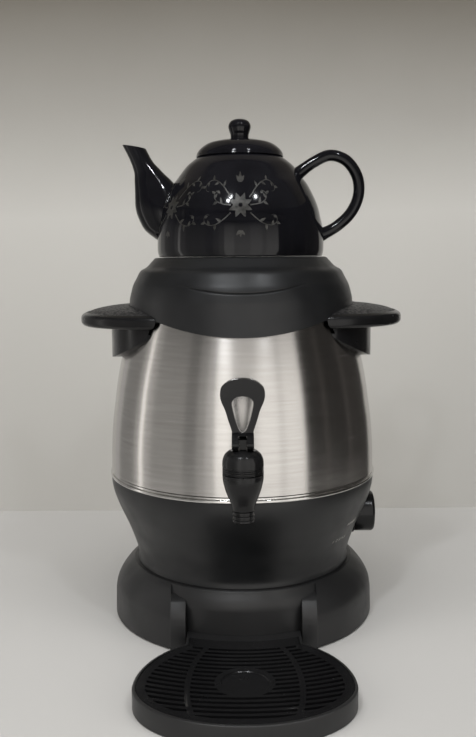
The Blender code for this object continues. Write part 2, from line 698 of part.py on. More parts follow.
def slot_rings(low, high):
    """Curved bars round the body's axis, one for each row of slots."""
    shape = bmesh.new()
    for row in range(SLOT_COUNT):
        inner = SLOT_FIRST_RADIUS + row * SLOT_PITCH
        outer = inner + SLOT_WIDTH
        swing = math.asin(min(1, (TRAY_HALF_WIDTH + OVERRUN) / inner))
        count = max(2, round(2 * swing / SLOT_STEP))
        back = arc_points(inner, -math.pi / 2 - swing, -math.pi / 2 + swing, count)
        front = arc_points(outer, -math.pi / 2 + swing, -math.pi / 2 - swing, count)
        lower = [shape.verts.new((x, y, low)) for x, y in back + front]
        floor = [shape.faces.new((lower[i], lower[i + 1], lower[-i - 2], lower[-i - 1]))
                 for i in range(count)]
        made = bmesh.ops.extrude_face_region(shape, geom=floor)
        top = [v for v in made["geom"] if isinstance(v, bmesh.types.BMVert)]
        bmesh.ops.translate(shape, verts=top, vec=(0, 0, high - low))
    bmesh.ops.recalc_face_normals(shape, faces=shape.faces)
    mesh = bpy.data.meshes.new("slot_rings")
    shape.to_mesh(mesh)
    shape.free()
    return place("slot_rings", mesh, None, cutter=True)


def lower_housing():
    inner = shifted(HOUSING, -WALL, HOUSING_LOW + WALL)
    profile = HOUSING + inner[::-1] + [(HOUSING_HOLE, HOUSING_LOW + WALL), (HOUSING_HOLE, HOUSING_LOW)]
    housing = turned("lower_housing", profile, SATIN)
    boss_face = KNOB_BACK - GAP - DIAL_THICKNESS
    boss_back = HOUSING_FOOT_RADIUS - 2 * WALL
    inside = turned("housing_inside", [(0, HOUSING_LOW + WALL / 2)]
                    + shifted(HOUSING, -WALL / 2, HOUSING_LOW + WALL / 2, HOUSING_TOP - WALL / 2)
                    + [(0, HOUSING_TOP - WALL / 2)])
    join(housing, keep(rod("knob_boss", DIAL_RADIUS + WALL, (boss_back, 0, KNOB_HEIGHT),
                           (TANK_RADIUS, 0, KNOB_HEIGHT), steps=MIDDLE_STEPS), inside))
    cut(housing, rod("knob_pocket", DIAL_RADIUS + GAP, (boss_face - GAP, 0, KNOB_HEIGHT),
                     (TANK_RADIUS + OVERRUN, 0, KNOB_HEIGHT), steps=MIDDLE_STEPS))
    cut(housing, rod("spindle_hole", SPINDLE_RADIUS + GAP, (boss_back - OVERRUN, 0, KNOB_HEIGHT),
                     (TANK_RADIUS, 0, KNOB_HEIGHT)))
    wide, deep, tall = INLET_FLANGE
    face = INLET_FACE - deep - GAP
    join(housing, box("inlet_boss", (wide + WALL, face - boss_back, tall + WALL),
                      (0, (face + boss_back) / 2, INLET_HEIGHT)))
    cut(housing, box("inlet_pocket", (wide + 2 * GAP, HOUSING_TOP_RADIUS - face + OVERRUN, tall + 2 * GAP),
                     (0, (HOUSING_TOP_RADIUS + OVERRUN + face) / 2, INLET_HEIGHT)))
    wide, deep, tall = INLET_BODY
    cut(housing, box("inlet_window", (wide + 2 * GAP, 3 * deep, tall + 2 * GAP), (0, face, INLET_HEIGHT)))
    for i in range(PEDESTAL_SCREW_COUNT):
        x, y = screw_place(i)
        boss_top = HOUSING_LOW + 3 * WALL
        join(housing, rod(f"screw_boss_{i}", SCREW_HEAD_RADIUS, (x, y, HOUSING_LOW + WALL / 2),
                          (x, y, boss_top), steps=TINY_STEPS))
        cut(housing, rod(f"screw_bore_{i}", SCREW_RADIUS + GAP, (x, y, HOUSING_LOW - OVERRUN),
                         (x, y, boss_top - WALL / 2), steps=TINY_STEPS))
    lamp = lamp_axis()
    cut(housing, rod("lamp_hole", LAMP_RADIUS + GAP, lamp[0] - lamp[1] * LAMP_LENGTH,
                     lamp[0] + lamp[1] * LAMP_LENGTH, steps=TINY_STEPS))
    return housing


def lamp_axis():
    """Where the pilot lamp leaves the housing, behind the knob, and its direction."""
    out = Vector((math.cos(LAMP_ANGLE), math.sin(LAMP_ANGLE), 0))
    return out * radius_at(HOUSING, LAMP_HEIGHT) + Vector((0, 0, LAMP_HEIGHT)), out


def trim_ring():
    outer, chamfer = RING_RADIUS, RING_CHAMFER
    neck = TANK_RADIUS - RING_NECK_INSET
    inner = RING_RADIUS - RING_FLANGE
    bead = RING_LOW + RING_BEAD
    profile = [(inner, RING_LOW), (outer - chamfer, RING_LOW), (outer, RING_LOW + chamfer),
               (outer, bead - chamfer), (outer - chamfer, bead), (neck, bead), (neck, RING_TOP),
               (inner, RING_TOP)]
    return turned("trim_ring", profile, POLISHED)


def steel_tank():
    outer = TANK
    inner = shifted(TANK, -TANK_WALL, TANK_LOW + TANK_WALL, TANK_TOP - TANK_WALL)
    lip = [(TANK_MOUTH_RADIUS, TANK_TOP), (TANK_MOUTH_RADIUS, TANK_TOP - TANK_WALL)]
    profile = [(0, TANK_LOW)] + outer + lip + inner[::-1] + [(0, TANK_LOW + TANK_WALL)]
    tank = turned("steel_tank", profile, STEEL)
    shank_z = TAP_SEAM_HEIGHT - SHANK_DROP
    cut(tank, rod("tap_hole", SHANK_RADIUS + GAP, (0, -TANK_RADIUS - OVERRUN, shank_z),
                  (0, -TANK_MOUTH_RADIUS, shank_z)))
    for side in (1, -1):
        for z in handle_screw_heights():
            cut(tank, rod(f"handle_hole_{side}_{z:.3f}", SCREW_RADIUS + GAP,
                          (side * TANK_MOUTH_RADIUS, 0, z), (side * (TANK_RADIUS + OVERRUN), 0, z),
                          steps=TINY_STEPS))
    return tank


def heater():
    high = TANK_LOW - GAP
    low = high - HEATER_PLATE_THICKNESS
    turned("heating_plate", disc(PLATE_RADIUS, low, high), ALUMINIUM, MIDDLE_STEPS)
    z = low - GAP - ELEMENT_TUBE
    gap = ELEMENT_GAP_ANGLE / 2
    path = [(x, y, z) for x, y in arc_points(ELEMENT_RADIUS, gap - math.pi / 2,
                                              3 * math.pi / 2 - gap, ELEMENT_STEPS)]
    tube("heating_element", path, ELEMENT_TUBE, ZINC, sides=1)
    top = low - GAP
    turned("thermal_cutout", disc(CUTOUT_RADIUS, top - CUTOUT_HEIGHT, top), PHENOLIC, SMALL_STEPS,
           (-ELEMENT_RADIUS / 2, 0, 0))
    deck = BASE_TOP - WALL - GAP
    rod_low = deck - 2 * WALL - GAP - 2 * NUT_HEIGHT
    flange = top - WALL
    profile = [(0, top), (ROD_FLANGE_RADIUS, top), (ROD_FLANGE_RADIUS, flange), (ROD_RADIUS, flange),
               (ROD_RADIUS, rod_low), (0, rod_low)]
    turned("tie_rod", profile, ZINC, TINY_STEPS)
    turned("clamp_plate", band(ROD_RADIUS + GAP, CLAMP_RADIUS, deck - WALL, deck), ZINC, SMALL_STEPS)
    nut_top = deck - WALL - GAP
    nut("tie_nut", NUT_RADIUS, ROD_RADIUS + GAP, nut_top - NUT_HEIGHT, nut_top)


def control():
    boss_back = HOUSING_FOOT_RADIUS - 2 * WALL
    sx, sy, sz = THERMOSTAT_SIZE
    front = boss_back - GAP
    box("thermostat", THERMOSTAT_SIZE, (front - sx / 2, 0, KNOB_HEIGHT), PHENOLIC)
    rod("thermostat_spindle", SPINDLE_RADIUS, (front + GAP, 0, KNOB_HEIGHT),
        (KNOB_BACK + KNOB_BORE_DEPTH - GAP, 0, KNOB_HEIGHT), ZINC)
    face = KNOB_LENGTH
    bore = SPINDLE_RADIUS + GAP
    profile = [(0, face), (KNOB_RADIUS * KNOB_FACE_SHARE, face - KNOB_DOME / 3),
               (KNOB_RADIUS - KNOB_DOME, face - KNOB_DOME), (KNOB_RADIUS, face - 2 * KNOB_DOME),
               (KNOB_RADIUS, 0), (bore, 0),
               (bore, KNOB_BORE_DEPTH), (0, KNOB_BORE_DEPTH)]
    quarter = (0, math.pi / 2, 0)
    turned("control_knob", profile, GLOSS, MIDDLE_STEPS, (KNOB_BACK, 0, KNOB_HEIGHT), quarter)
    turned("dial_ring", band(bore, DIAL_RADIUS, -DIAL_THICKNESS, 0), SATIN, MIDDLE_STEPS,
           (KNOB_BACK - GAP, 0, KNOB_HEIGHT), quarter)
    plate_low = TANK_LOW - GAP - HEATER_PLATE_THICKNESS
    under = plate_low - 2 * GAP - 2 * ELEMENT_TUBE - 2 * CAPILLARY_RADIUS
    start = KNOB_HEIGHT + sz / 2 + GAP
    x = front - sx / 2
    middle = (start + under) / 2
    bulb = ELEMENT_RADIUS / 2
    path = [(x, 0, start), (x, 0, middle), (x - sx / 2, 0, under), (ELEMENT_RADIUS, 0, under),
            (ELEMENT_RADIUS - sx / 2, 0, under), (bulb + sx / 6, 0, plate_low - 4 * CAPILLARY_RADIUS),
            (bulb, 0, plate_low - GAP - CAPILLARY_RADIUS), (bulb / 2, 0, plate_low - GAP - CAPILLARY_RADIUS)]
    tube("thermostat_capillary", path, CAPILLARY_RADIUS, COPPER, sides=1)
    at, out = lamp_axis()
    lens = [(0, LAMP_PROUD), (LAMP_RADIUS / 2, LAMP_PROUD * 3 / 4), (LAMP_RADIUS, 0),
            (LAMP_RADIUS, -LAMP_LENGTH), (0, -LAMP_LENGTH)]
    turned("pilot_lamp", lens, LENS, TINY_STEPS, at, (0, math.pi / 2, LAMP_ANGLE))


def power_inlet():
    wide, deep, tall = INLET_FLANGE
    inlet = box("power_inlet", INLET_FLANGE, (0, INLET_FACE - deep / 2, INLET_HEIGHT), GLOSS)
    bw, bd, bt = INLET_BODY
    join(inlet, box("inlet_body", (bw, bd, bt), (0, INLET_FACE - deep / 2 - bd / 2, INLET_HEIGHT)))
    rw, rd, rt = INLET_RECESS
    cut(inlet, box("inlet_recess", (rw, 2 * rd, rt), (0, INLET_FACE, INLET_HEIGHT)))
    pw, pd, pt = INLET_PIN
    for i in (-1, 0, 1):
        rise = INLET_PIN_RISE * (1 if i == 0 else -1)
        pin = box(f"inlet_pin_{i + 1}", (pw, pd + WALL, pt),
                  (i * INLET_PIN_SPACING, INLET_FACE - rd + (pd - WALL) / 2, INLET_HEIGHT + rise))
        join(inlet, pin)
    tx, ty, tz = TERMINAL_SIZE
    spread = (BASE_HOLE + BASE_TOP_RADIUS) / 2
    box("terminal_block", TERMINAL_SIZE,
        (spread * math.cos(TERMINAL_ANGLE), spread * math.sin(TERMINAL_ANGLE),
         HOUSING_LOW + WALL + GAP + tz / 2), PHENOLIC)


def collar_inside():
    """The collar's inner outline, bottom to top: it lies on the tank low down and follows the skin above."""
    points = []
    for r, z in COLLAR[::2]:
        tank = radius_at(TANK, z) + GAP if z < TANK_TOP else 0
        points.append((max(tank, r - COLLAR_SKIN), z))
    under = COLLAR_LEDGE - COLLAR_SKIN
    return [p for p in points if p[1] < under] + [(radius_at(points, under), under)]


def top_collar():
    rim = LID_RADIUS + GAP
    profile = COLLAR + [(COLLAR_TOP_RADIUS - 2 * COLLAR_SKIN, COLLAR_TOP), (rim, COLLAR_TOP),
                        (rim, COLLAR_LEDGE), (COLLAR_MOUTH_RADIUS, COLLAR_LEDGE),
                        (COLLAR_MOUTH_RADIUS, COLLAR_LEDGE - COLLAR_SKIN)] + collar_inside()[::-1]
    collar = turned("top_collar", profile, SATIN)
    half, arc = COLLAR_EDGE_HALF_WIDTH, COLLAR_EDGE_ARC
    wide = COLLAR_EDGE_RADIUS + OVERRUN
    swing = math.asin(half / arc)
    edge = arc_points(arc, -math.pi / 2 - swing, -math.pi / 2 + swing, COLLAR_EDGE_STEPS,
                      (0, COLLAR_LOW + arc))
    low = COLLAR_LOW - OVERRUN
    outline = [(-wide, low), (-wide, edge[0][1])] + edge + [(wide, edge[-1][1]), (wide, low)]
    cut(collar, prism("visor_edge", outline, -wide, wide, rotation=(math.pi / 2, 0, 0)))
    cut(collar, crease_cutter())
    return collar


def crease_cutter():
    """A shallow smile-shaped groove across the front of the collar."""
    swing = math.asin(CREASE_HALF_WIDTH / CREASE_ARC)
    centre = (0, COLLAR_LOW + CREASE_RISE + CREASE_ARC)
    lower, upper = [], []
    for i in range(CREASE_STEPS + 1):
        share = 2 * i / CREASE_STEPS - 1
        turn = -math.pi / 2 + swing * share
        half = CREASE_WIDTH / 2 * (1 - CREASE_FADE_SHARE * share ** CREASE_FADE_POWER)
        for side, radius in ((lower, CREASE_ARC + half), (upper, CREASE_ARC - half)):
            side.append((radius * math.cos(turn), centre[1] + radius * math.sin(turn)))
    strip = prism("crease", lower + upper[::-1], COLLAR_MOUTH_RADIUS / 2, COLLAR_EDGE_RADIUS + OVERRUN,
                  rotation=(math.pi / 2, 0, 0))
    core = [(0, COLLAR_LOW)] + shifted(COLLAR, -CREASE_DEPTH) + [(0, COLLAR_TOP)]
    return cut(strip, turned("crease_core", core))


def tank_lid():
    rest = COLLAR_LEDGE + GAP
    inner = COLLAR_MOUTH_RADIUS + GASKET_THICKNESS
    turned("lid_gasket", band(inner, LID_RADIUS - GASKET_THICKNESS, rest, rest + GASKET_THICKNESS), SILICONE)
    under = rest + GASKET_THICKNESS + GAP
    high = COLLAR_TOP + GAP
    dish = high - LID_DISH
    slope = LID_RADIUS - LID_BAND
    knob_top = high - LID_SKIN / 2
    knob = LID_KNOB_RADIUS
    profile = [(0, knob_top), (knob * LID_KNOB_FACE_SHARE, knob_top), (knob, knob_top - LID_SKIN / 2),
               (knob, knob_top - LID_SKIN), (knob / 2, knob_top - 2 * LID_SKIN), (knob / 2, dish),
               (slope - LID_DISH / 2, dish), (slope, high), (LID_RADIUS, high), (LID_RADIUS, under),
               (slope + LID_SKIN / 2, under), (slope - LID_DISH / 2 + LID_SKIN / 2, dish - LID_SKIN),
               (0, dish - LID_SKIN)]
    lid = turned("tank_lid", profile, SATIN)
    for i in range(VENT_HOLE_COUNT):
        turn = VENT_HOLE_TURN + 2 * math.pi * i / VENT_HOLE_COUNT
        x, y = VENT_HOLE_CIRCLE * math.cos(turn), VENT_HOLE_CIRCLE * math.sin(turn)
        cut(lid, rod(f"steam_vent_{i}", VENT_HOLE_RADIUS, (x, y, dish - 2 * LID_SKIN), (x, y, high),
                     steps=TINY_STEPS))
    return lid


def body_envelope():
    """Everything that the handles must stay clear of."""
    tank = [p for p in shifted(TANK, GAP) if p[1] < COLLAR_LOW]
    collar = shifted(COLLAR, GAP)
    profile = [(0, TANK_LOW)] + tank + [(radius_at(TANK, COLLAR_LOW) + GAP, COLLAR_LOW - GAP),
                                        (collar[0][0], COLLAR_LOW - GAP)] + collar + [(0, COLLAR_TOP)]
    return turned("body_envelope", profile)


def handle_screw_heights():
    return HANDLE_LOW + HANDLE_EDGE / 3, HANDLE_LOW - CORBEL_DROP / 2


def handles():
    envelope = body_envelope()
    reach = HANDLE_TIP - HANDLE_CENTRE
    low, edge = HANDLE_LOW, HANDLE_LOW + HANDLE_EDGE
    margin, round_by = INLAY_MARGIN, HANDLE_EDGE / 4

    def crown(r, sink=0):
        return edge + HANDLE_CROWN * (1 - (r / reach) ** CROWN_POWER) - sink

    seat = reach - margin
    top = [(share * seat, crown(share * seat, INLAY_DEPTH)) for share in CROWN_SHARES]
    profile = [(0, low), (reach - round_by, low), (reach, low + round_by), (reach, edge - round_by),
               (reach - round_by / 2, edge), (seat, crown(seat))] + top[::-1]
    pad = seat - GAP
    inlay = [(share * pad, crown(share * pad)) for share in CROWN_SHARES]
    inlay += [(share * pad, crown(share * pad, INLAY_DEPTH - GAP)) for share in CROWN_SHARES[::-1]]
    squash = HANDLE_HALF_SPAN / reach
    for side, label in ((-1, "left"), (1, "right")):
        handle = turned(label + "_handle", profile, GLOSS, LARGE_STEPS, (side * HANDLE_CENTRE, 0, 0))
        handle.scale = (1, squash, 1)
        half = CORBEL_REACH - HANDLE_CENTRE
        corbel = prism(label + "_corbel", oval(half, CORBEL_HALF_SPAN, MIDDLE_STEPS), low - CORBEL_DROP,
                       low + round_by, location=(side * HANDLE_CENTRE, 0, 0))
        bowl = prism(label + "_corbel_bowl", oval(CORBEL_DROP, CORBEL_HALF_SPAN, MIDDLE_STEPS),
                     -half - OVERRUN, half + OVERRUN, location=(side * HANDLE_CENTRE, 0, low),
                     rotation=(0, math.pi / 2, 0))
        keep(corbel, bowl)
        join(handle, corbel)
        cut(handle, envelope)
        pad_piece = turned(label + "_handle_inlay", inlay, TEXTURED, LARGE_STEPS,
                           (side * HANDLE_CENTRE, 0, 0))
        pad_piece.scale = (1, squash, 1)
        cut(pad_piece, envelope)
        for z, height_name in zip(handle_screw_heights(), ("upper", "lower")):
            wall = radius_at(TANK, z)
            start = side * (wall - HANDLE_SCREW_LENGTH / 4)
            end = start + side * HANDLE_SCREW_LENGTH
            cut(handle, rod(f"{label}_{height_name}_bore", SCREW_RADIUS + GAP, (start, 0, z),
                            (end + side * GAP, 0, z), steps=TINY_STEPS))
            screw = rod(f"{label}_handle_{height_name}_screw", SCREW_RADIUS, (start, 0, z), (end, 0, z),
                        ZINC, TINY_STEPS)
            head = start + side * SCREW_HEAD_HEIGHT / 2
            join(screw, rod(f"{label}_{height_name}_screw_head", SCREW_HEAD_RADIUS,
                            (start - side * SCREW_HEAD_HEIGHT / 2, 0, z), (head, 0, z), steps=TINY_STEPS))


# Outlines of the tap, from the seam up or down, as (radius share, height share)
TAP_BODY_SHARES = [(1.0, 0.0), (0.985, 0.17), (0.93, 0.32), (0.865, 0.459), (0.775, 0.594), (0.68, 0.728),
                   (0.585, 0.871), (0.54, 1.0)]
BONNET_SHARES = [(1.0, 0.0), (1.0, 0.34), (0.985, 0.56), (0.90, 0.77), (0.80, 0.88), (0.66, 0.975)]
LEVER_SHARES = [(0.475, 0.138), (0.475, 0.17), (0.64, 0.351), (0.77, 0.507), (0.93, 0.64), (0.985, 0.74),
                (0.95, 0.84), (0.80, 0.905), (0.60, 0.955), (0.33, 0.988), (0.0, 1.0)]
LEVER_HOLE_SHARES = [(0.36, 0.0), (0.67, 0.33), (0.90, 0.60), (1.0, 0.76), (0.92, 0.88), (0.55, 0.97),
                     (0.0, 1.0)]


def mirrored(half):
    """A closed outline from its right half, listed bottom to top and ending on the axis."""
    return half + [(-x, y) for x, y in half[::-1][1:]]


def tap_body():
    top = TAP_SEAM_HEIGHT - GAP / 2
    low = top - TAP_BODY_HEIGHT
    nozzle = low - NOZZLE_LENGTH
    seat = low + TAP_SEAT_RISE
    outer = [(TAP_RADIUS * r, top - TAP_BODY_HEIGHT * h) for r, h in TAP_BODY_SHARES]
    rib = NOZZLE_LENGTH / (2 * NOZZLE_RIB_COUNT)
    core = NOZZLE_RADIUS - NOZZLE_RIB
    ribs = []
    for i in range(NOZZLE_RIB_COUNT):
        start = low - rib / 2 - 2 * rib * i
        ribs += [(NOZZLE_RADIUS, start), (NOZZLE_RADIUS, start - rib), (core, start - rib)]
        ribs += [(core, start - 2 * rib)] if i < NOZZLE_RIB_COUNT - 1 else []
    profile = [(TAP_CHAMBER, top)] + outer + ribs
    profile += [(core, nozzle), (NOZZLE_BORE, nozzle), (NOZZLE_BORE, low),
                (TAP_THROAT, seat - TAP_THROAT / 2), (TAP_THROAT, seat), (TAP_CHAMBER, seat)]
    body = turned("tap_body", profile, GLOSS, SMALL_STEPS, (0, -TAP_REACH, 0))
    z = TAP_SEAM_HEIGHT - SHANK_DROP
    front = -TAP_REACH + (TAP_CHAMBER + TAP_RADIUS) / 2
    flange_back = -radius_at(TANK, z) - WASHER_THICKNESS - 2 * GAP
    join(body, rod("shank", SHANK_RADIUS, (0, front, z), (0, -SHANK_END, z)))
    join(body, rod("shank_flange", FLANGE_RADIUS, (0, flange_back - FLANGE_THICKNESS, z),
                   (0, flange_back, z)))
    cut(body, rod("shank_bore", SHANK_BORE, (0, -TAP_REACH, z), (0, -SHANK_END + OVERRUN, z),
                  steps=TINY_STEPS))
    return body


def tap_seals():
    z = TAP_SEAM_HEIGHT - SHANK_DROP
    wall = radius_at(TANK, z)
    bore = SHANK_RADIUS + GAP
    quarter = (-math.pi / 2, 0, 0)
    sag = wall - math.sqrt(wall ** 2 - FLANGE_RADIUS ** 2)
    outer = turned("tap_outer_gasket", band(bore, FLANGE_RADIUS, 0, WASHER_THICKNESS + sag), SILICONE,
                   SMALL_STEPS, (0, -wall - WASHER_THICKNESS - GAP, z), quarter)
    cut(outer, turned("gasket_clearance", [(0, TANK_LOW)] + shifted(TANK, GAP) + [(0, TANK_TOP)]))
    inside = wall - TANK_WALL - sag - GAP
    turned("tap_inner_gasket", band(bore, TAP_NUT_RADIUS, 0, WASHER_THICKNESS), SILICONE, SMALL_STEPS,
           (0, -inside + GAP, z), quarter)
    nut("tap_nut", TAP_NUT_RADIUS, bore, 0, TAP_NUT_THICKNESS,
        (0, -inside + WASHER_THICKNESS + 2 * GAP, z), quarter)


def tap_bonnet():
    low = TAP_SEAM_HEIGHT + GAP / 2
    high = low + BONNET_HEIGHT
    outer = [(TAP_RADIUS * r, low + BONNET_HEIGHT * h) for r, h in BONNET_SHARES]
    pitch = BONNET_HEIGHT * BONNET_SHARES[1][1] / (BONNET_RIDGE_COUNT + 1)
    ridges = []
    for i in range(BONNET_RIDGE_COUNT):
        start = low + pitch / 2 + pitch * i
        ridges += [(TAP_RADIUS, start), (TAP_RADIUS - BONNET_RIDGE, start + pitch / 4),
                   (TAP_RADIUS - BONNET_RIDGE, start + pitch * 3 / 4)]
    ceiling = high - BONNET_TOP_WALL
    spigot = TAP_CHAMBER - GAP
    bore = SPRING_RADIUS + 2 * SPRING_WIRE + GAP
    tail = low - FLANGE_THICKNESS
    profile = [outer[0]] + ridges + outer[1:] + [(BONNET_NECK_RADIUS, high), (STEM_RADIUS + GAP, high),
              (STEM_RADIUS + GAP, ceiling), (bore, ceiling), (bore, tail), (spigot, tail), (spigot, low)]
    return turned("tap_bonnet", profile, GLOSS, SMALL_STEPS, (0, -TAP_REACH, 0))


def tap_inside():
    seat = TAP_SEAM_HEIGHT - GAP / 2 - TAP_BODY_HEIGHT + TAP_SEAT_RISE + GAP
    cup_top = seat + CUP_HEIGHT
    at = (0, -TAP_REACH, 0)
    cup = [(0, cup_top), (CUP_RADIUS * CUP_TOP_SHARE, cup_top), (CUP_RADIUS, cup_top - CUP_HEIGHT / 2),
           (CUP_RADIUS, seat), (0, seat)]
    turned("seat_cup", cup, SILICONE, SMALL_STEPS, at)
    stem_low = cup_top + GAP
    bonnet_top = TAP_SEAM_HEIGHT + GAP / 2 + BONNET_HEIGHT
    pin = bonnet_top + PIN_RISE
    rest = stem_low + STEM_RADIUS / 2
    profile = [(0, pin), (STEM_RADIUS, pin), (STEM_RADIUS, rest), (SPRING_RADIUS + SPRING_WIRE, rest),
               (SPRING_RADIUS + SPRING_WIRE, stem_low), (0, stem_low)]
    stem = turned("tap_stem", profile, GLOSS, TINY_STEPS, at)
    head_low = bonnet_top + 2 * GAP
    join(stem, box("stem_head", (STEM_HEAD_WIDTH, STEM_HEAD_DEPTH, pin - head_low),
                   (0, -TAP_REACH, (pin + head_low) / 2)))
    wide = STEM_HEAD_WIDTH / 2
    join(stem, rod("stem_eye", STEM_HEAD_DEPTH / 2, (-wide, -TAP_REACH, pin), (wide, -TAP_REACH, pin)))
    cut(stem, rod("stem_pin_hole", PIN_RADIUS + GAP, (-TAP_RADIUS, -TAP_REACH, pin),
                  (TAP_RADIUS, -TAP_REACH, pin), steps=TINY_STEPS))
    half = LEVER_FOOT_HALF_WIDTH
    rod("lever_pin", PIN_RADIUS, (-half, -TAP_REACH, pin), (half, -TAP_REACH, pin), GLOSS, TINY_STEPS)
    low = rest + GAP + SPRING_WIRE
    high = bonnet_top - BONNET_TOP_WALL - GAP - SPRING_WIRE
    count = SPRING_TURNS * SPRING_TURN_STEPS
    turns = [2 * math.pi * i / SPRING_TURN_STEPS for i in range(count + 1)]
    coil = [(SPRING_RADIUS * math.cos(turn), SPRING_RADIUS * math.sin(turn) - TAP_REACH,
             low + (high - low) * i / count) for i, turn in enumerate(turns)]
    tube("tap_spring", coil, SPRING_WIRE, ZINC, sides=1)


def cam_outline(support, travel, swing):
    """The lever's foot seen from the side: it rides on the bonnet and lifts the pin as the lever tips."""
    rate = travel / swing
    half = LEVER_THICKNESS / 2
    top = LEVER_FOOT_HEIGHT + GAP
    curve = []
    for i in range(CAM_STEPS + 1):
        turn = swing * i / CAM_STEPS
        reach = support + rate * turn
        curve.append((-reach * math.sin(turn) - rate * math.cos(turn),
                      -reach * math.cos(turn) + rate * math.sin(turn)))
    return [(half, -support)] + curve + [(curve[-1][0], 0), (-half, top), (half, top)]


def tap_lever():
    pin = TAP_SEAM_HEIGHT + GAP / 2 + BONNET_HEIGHT + PIN_RISE
    upright = (math.pi / 2, 0, 0)
    at = (0, -TAP_REACH, pin)
    half = LEVER_THICKNESS / 2
    outer = mirrored([(LEVER_HALF_WIDTH * x, LEVER_TOP * z) for x, z in LEVER_SHARES])
    lever = prism("tap_lever", outer, -half, half, GLOSS, at, upright)
    tall = LEVER_HOLE_TOP - LEVER_HOLE_LOW
    hole = mirrored([(LEVER_HOLE_HALF_WIDTH * x, LEVER_HOLE_LOW + tall * z) for x, z in LEVER_HOLE_SHARES])
    cut(lever, prism("lever_hole", hole, -half - OVERRUN, half + OVERRUN, location=at, rotation=upright))
    foot = prism("lever_foot", cam_outline(PIN_RISE - GAP, TAP_LIFT, TAP_SWING), -LEVER_FOOT_HALF_WIDTH,
                 LEVER_FOOT_HALF_WIDTH)
    # The outline's first axis is Y, its second one Z, and it is as deep as the foot is wide
    foot.data.transform(Matrix(((0, 0, 1, 0), (1, 0, 0, 0), (0, 1, 0, 0), (0, 0, 0, 1))))
    foot.location = at
    join(lever, foot)
    slot_top = STEM_HEAD_DEPTH / 2 + 2 * GAP
    slot = box("lever_slot", (2 * LEVER_SLOT_HALF_WIDTH, 4 * LEVER_THICKNESS, slot_top + TAP_RADIUS),
               (0, -TAP_REACH, pin + (slot_top - TAP_RADIUS) / 2))
    cut(lever, slot)
    cut(lever, rod("lever_pin_hole", PIN_RADIUS + GAP, (-TAP_RADIUS, -TAP_REACH, pin),
                   (TAP_RADIUS, -TAP_REACH, pin), steps=TINY_STEPS))
    return lever


# Outlines of the teapot, bottom to top, as (radius share, height share)
POT_SHARES = [(0.985, 0.0), (1.0, 0.06), (1.0, 0.17), (0.987, 0.305), (0.963, 0.395), (0.937, 0.49),
              (0.887, 0.60), (0.814, 0.72), (0.754, 0.79), (0.647, 0.91), (0.575, 0.965), (0.52, 1.0)]
POT_LID_SHARES = [(1.0, 0.0), (0.968, 0.27), (0.875, 0.53), (0.71, 0.77), (0.43, 0.93)]
POT_KNOB_SHARES = [(0.80, 0.0), (0.82, 0.20), (0.93, 0.40), (1.0, 0.58), (0.95, 0.75), (0.75, 0.90),
                   (0.40, 0.98), (0.0, 1.0)]
# The spout's sections: height share, far and near edge as shares of its reach, half width share
SPOUT_SHARES = [(0.12, 0.68, 0.40, 0.80), (0.24, 0.825, 0.42, 0.95), (0.33, 0.888, 0.44, 1.0),
                (0.49, 0.938, 0.48, 1.0), (0.67, 0.942, 0.54, 0.80), (0.78, 0.943, 0.61, 0.66),
                (0.87, 0.945, 0.69, 0.57), (0.985, 0.98, 0.775, 0.50), (1.125, 1.045, 0.835, 0.50)]
POT_HANDLE_SHARES = [(0.63, 0.79), (0.714, 0.855), (0.886, 0.958), (1.076, 1.025), (1.257, 0.981),
                     (1.379, 0.861), (1.429, 0.717), (1.407, 0.562), (1.314, 0.418), (1.157, 0.298),
                     (1.0, 0.226), (0.914, 0.196)]


def smooth_path(points, per_span):
    """Points on a smooth curve through the given ones."""
    ends = [2 * points[0] - points[1]] + points + [2 * points[-1] - points[-2]]
    path = []
    for a, b, c, d in zip(ends, ends[1:], ends[2:], ends[3:]):
        for i in range(per_span):
            t = i / per_span
            path.append((2 * b + (c - a) * t + (2 * a - 5 * b + 4 * c - d) * t ** 2
                         + (3 * b - a - 3 * c + d) * t ** 3) / 2)
    return path + [points[-1]]


def spout_loft(name, shrink, beyond):
    """Oval sections from the pot's side up to the pouring lip."""
    shape = bmesh.new()
    rings = []
    tip_slope = SPOUT_TIP_RADIUS * SPOUT_TIP_SLOPE_SHARE
    for i, (height, far, near, half) in enumerate(SPOUT_SHARES):
        last = i == len(SPOUT_SHARES) - 1
        z = POT_LOW + POT_HEIGHT * height + (beyond if last else 0)
        outer, inner = SPOUT_REACH * far - shrink, SPOUT_REACH * near + shrink
        middle, reach = (outer + inner) / 2, (outer - inner) / 2
        wide = SPOUT_ROOT_RADIUS * half - shrink
        ring = [shape.verts.new((-middle - reach * math.cos(turn), wide * math.sin(turn),
                                 z + (tip_slope * math.cos(turn) if last else 0)))
                for turn in (2 * math.pi * k / SPOUT_STEPS for k in range(SPOUT_STEPS))]
        rings.append(ring)
    for a, b in zip(rings, rings[1:]):
        for k in range(SPOUT_STEPS):
            shape.faces.new((a[k], a[k - 1], b[k - 1], b[k]))
    shape.faces.new(rings[0])
    shape.faces.new(rings[-1])
    bmesh.ops.recalc_face_normals(shape, faces=shape.faces)
    mesh = bpy.data.meshes.new(name)
    shape.to_mesh(mesh)
    shape.free()
    return place(name, mesh, None, cutter=True)


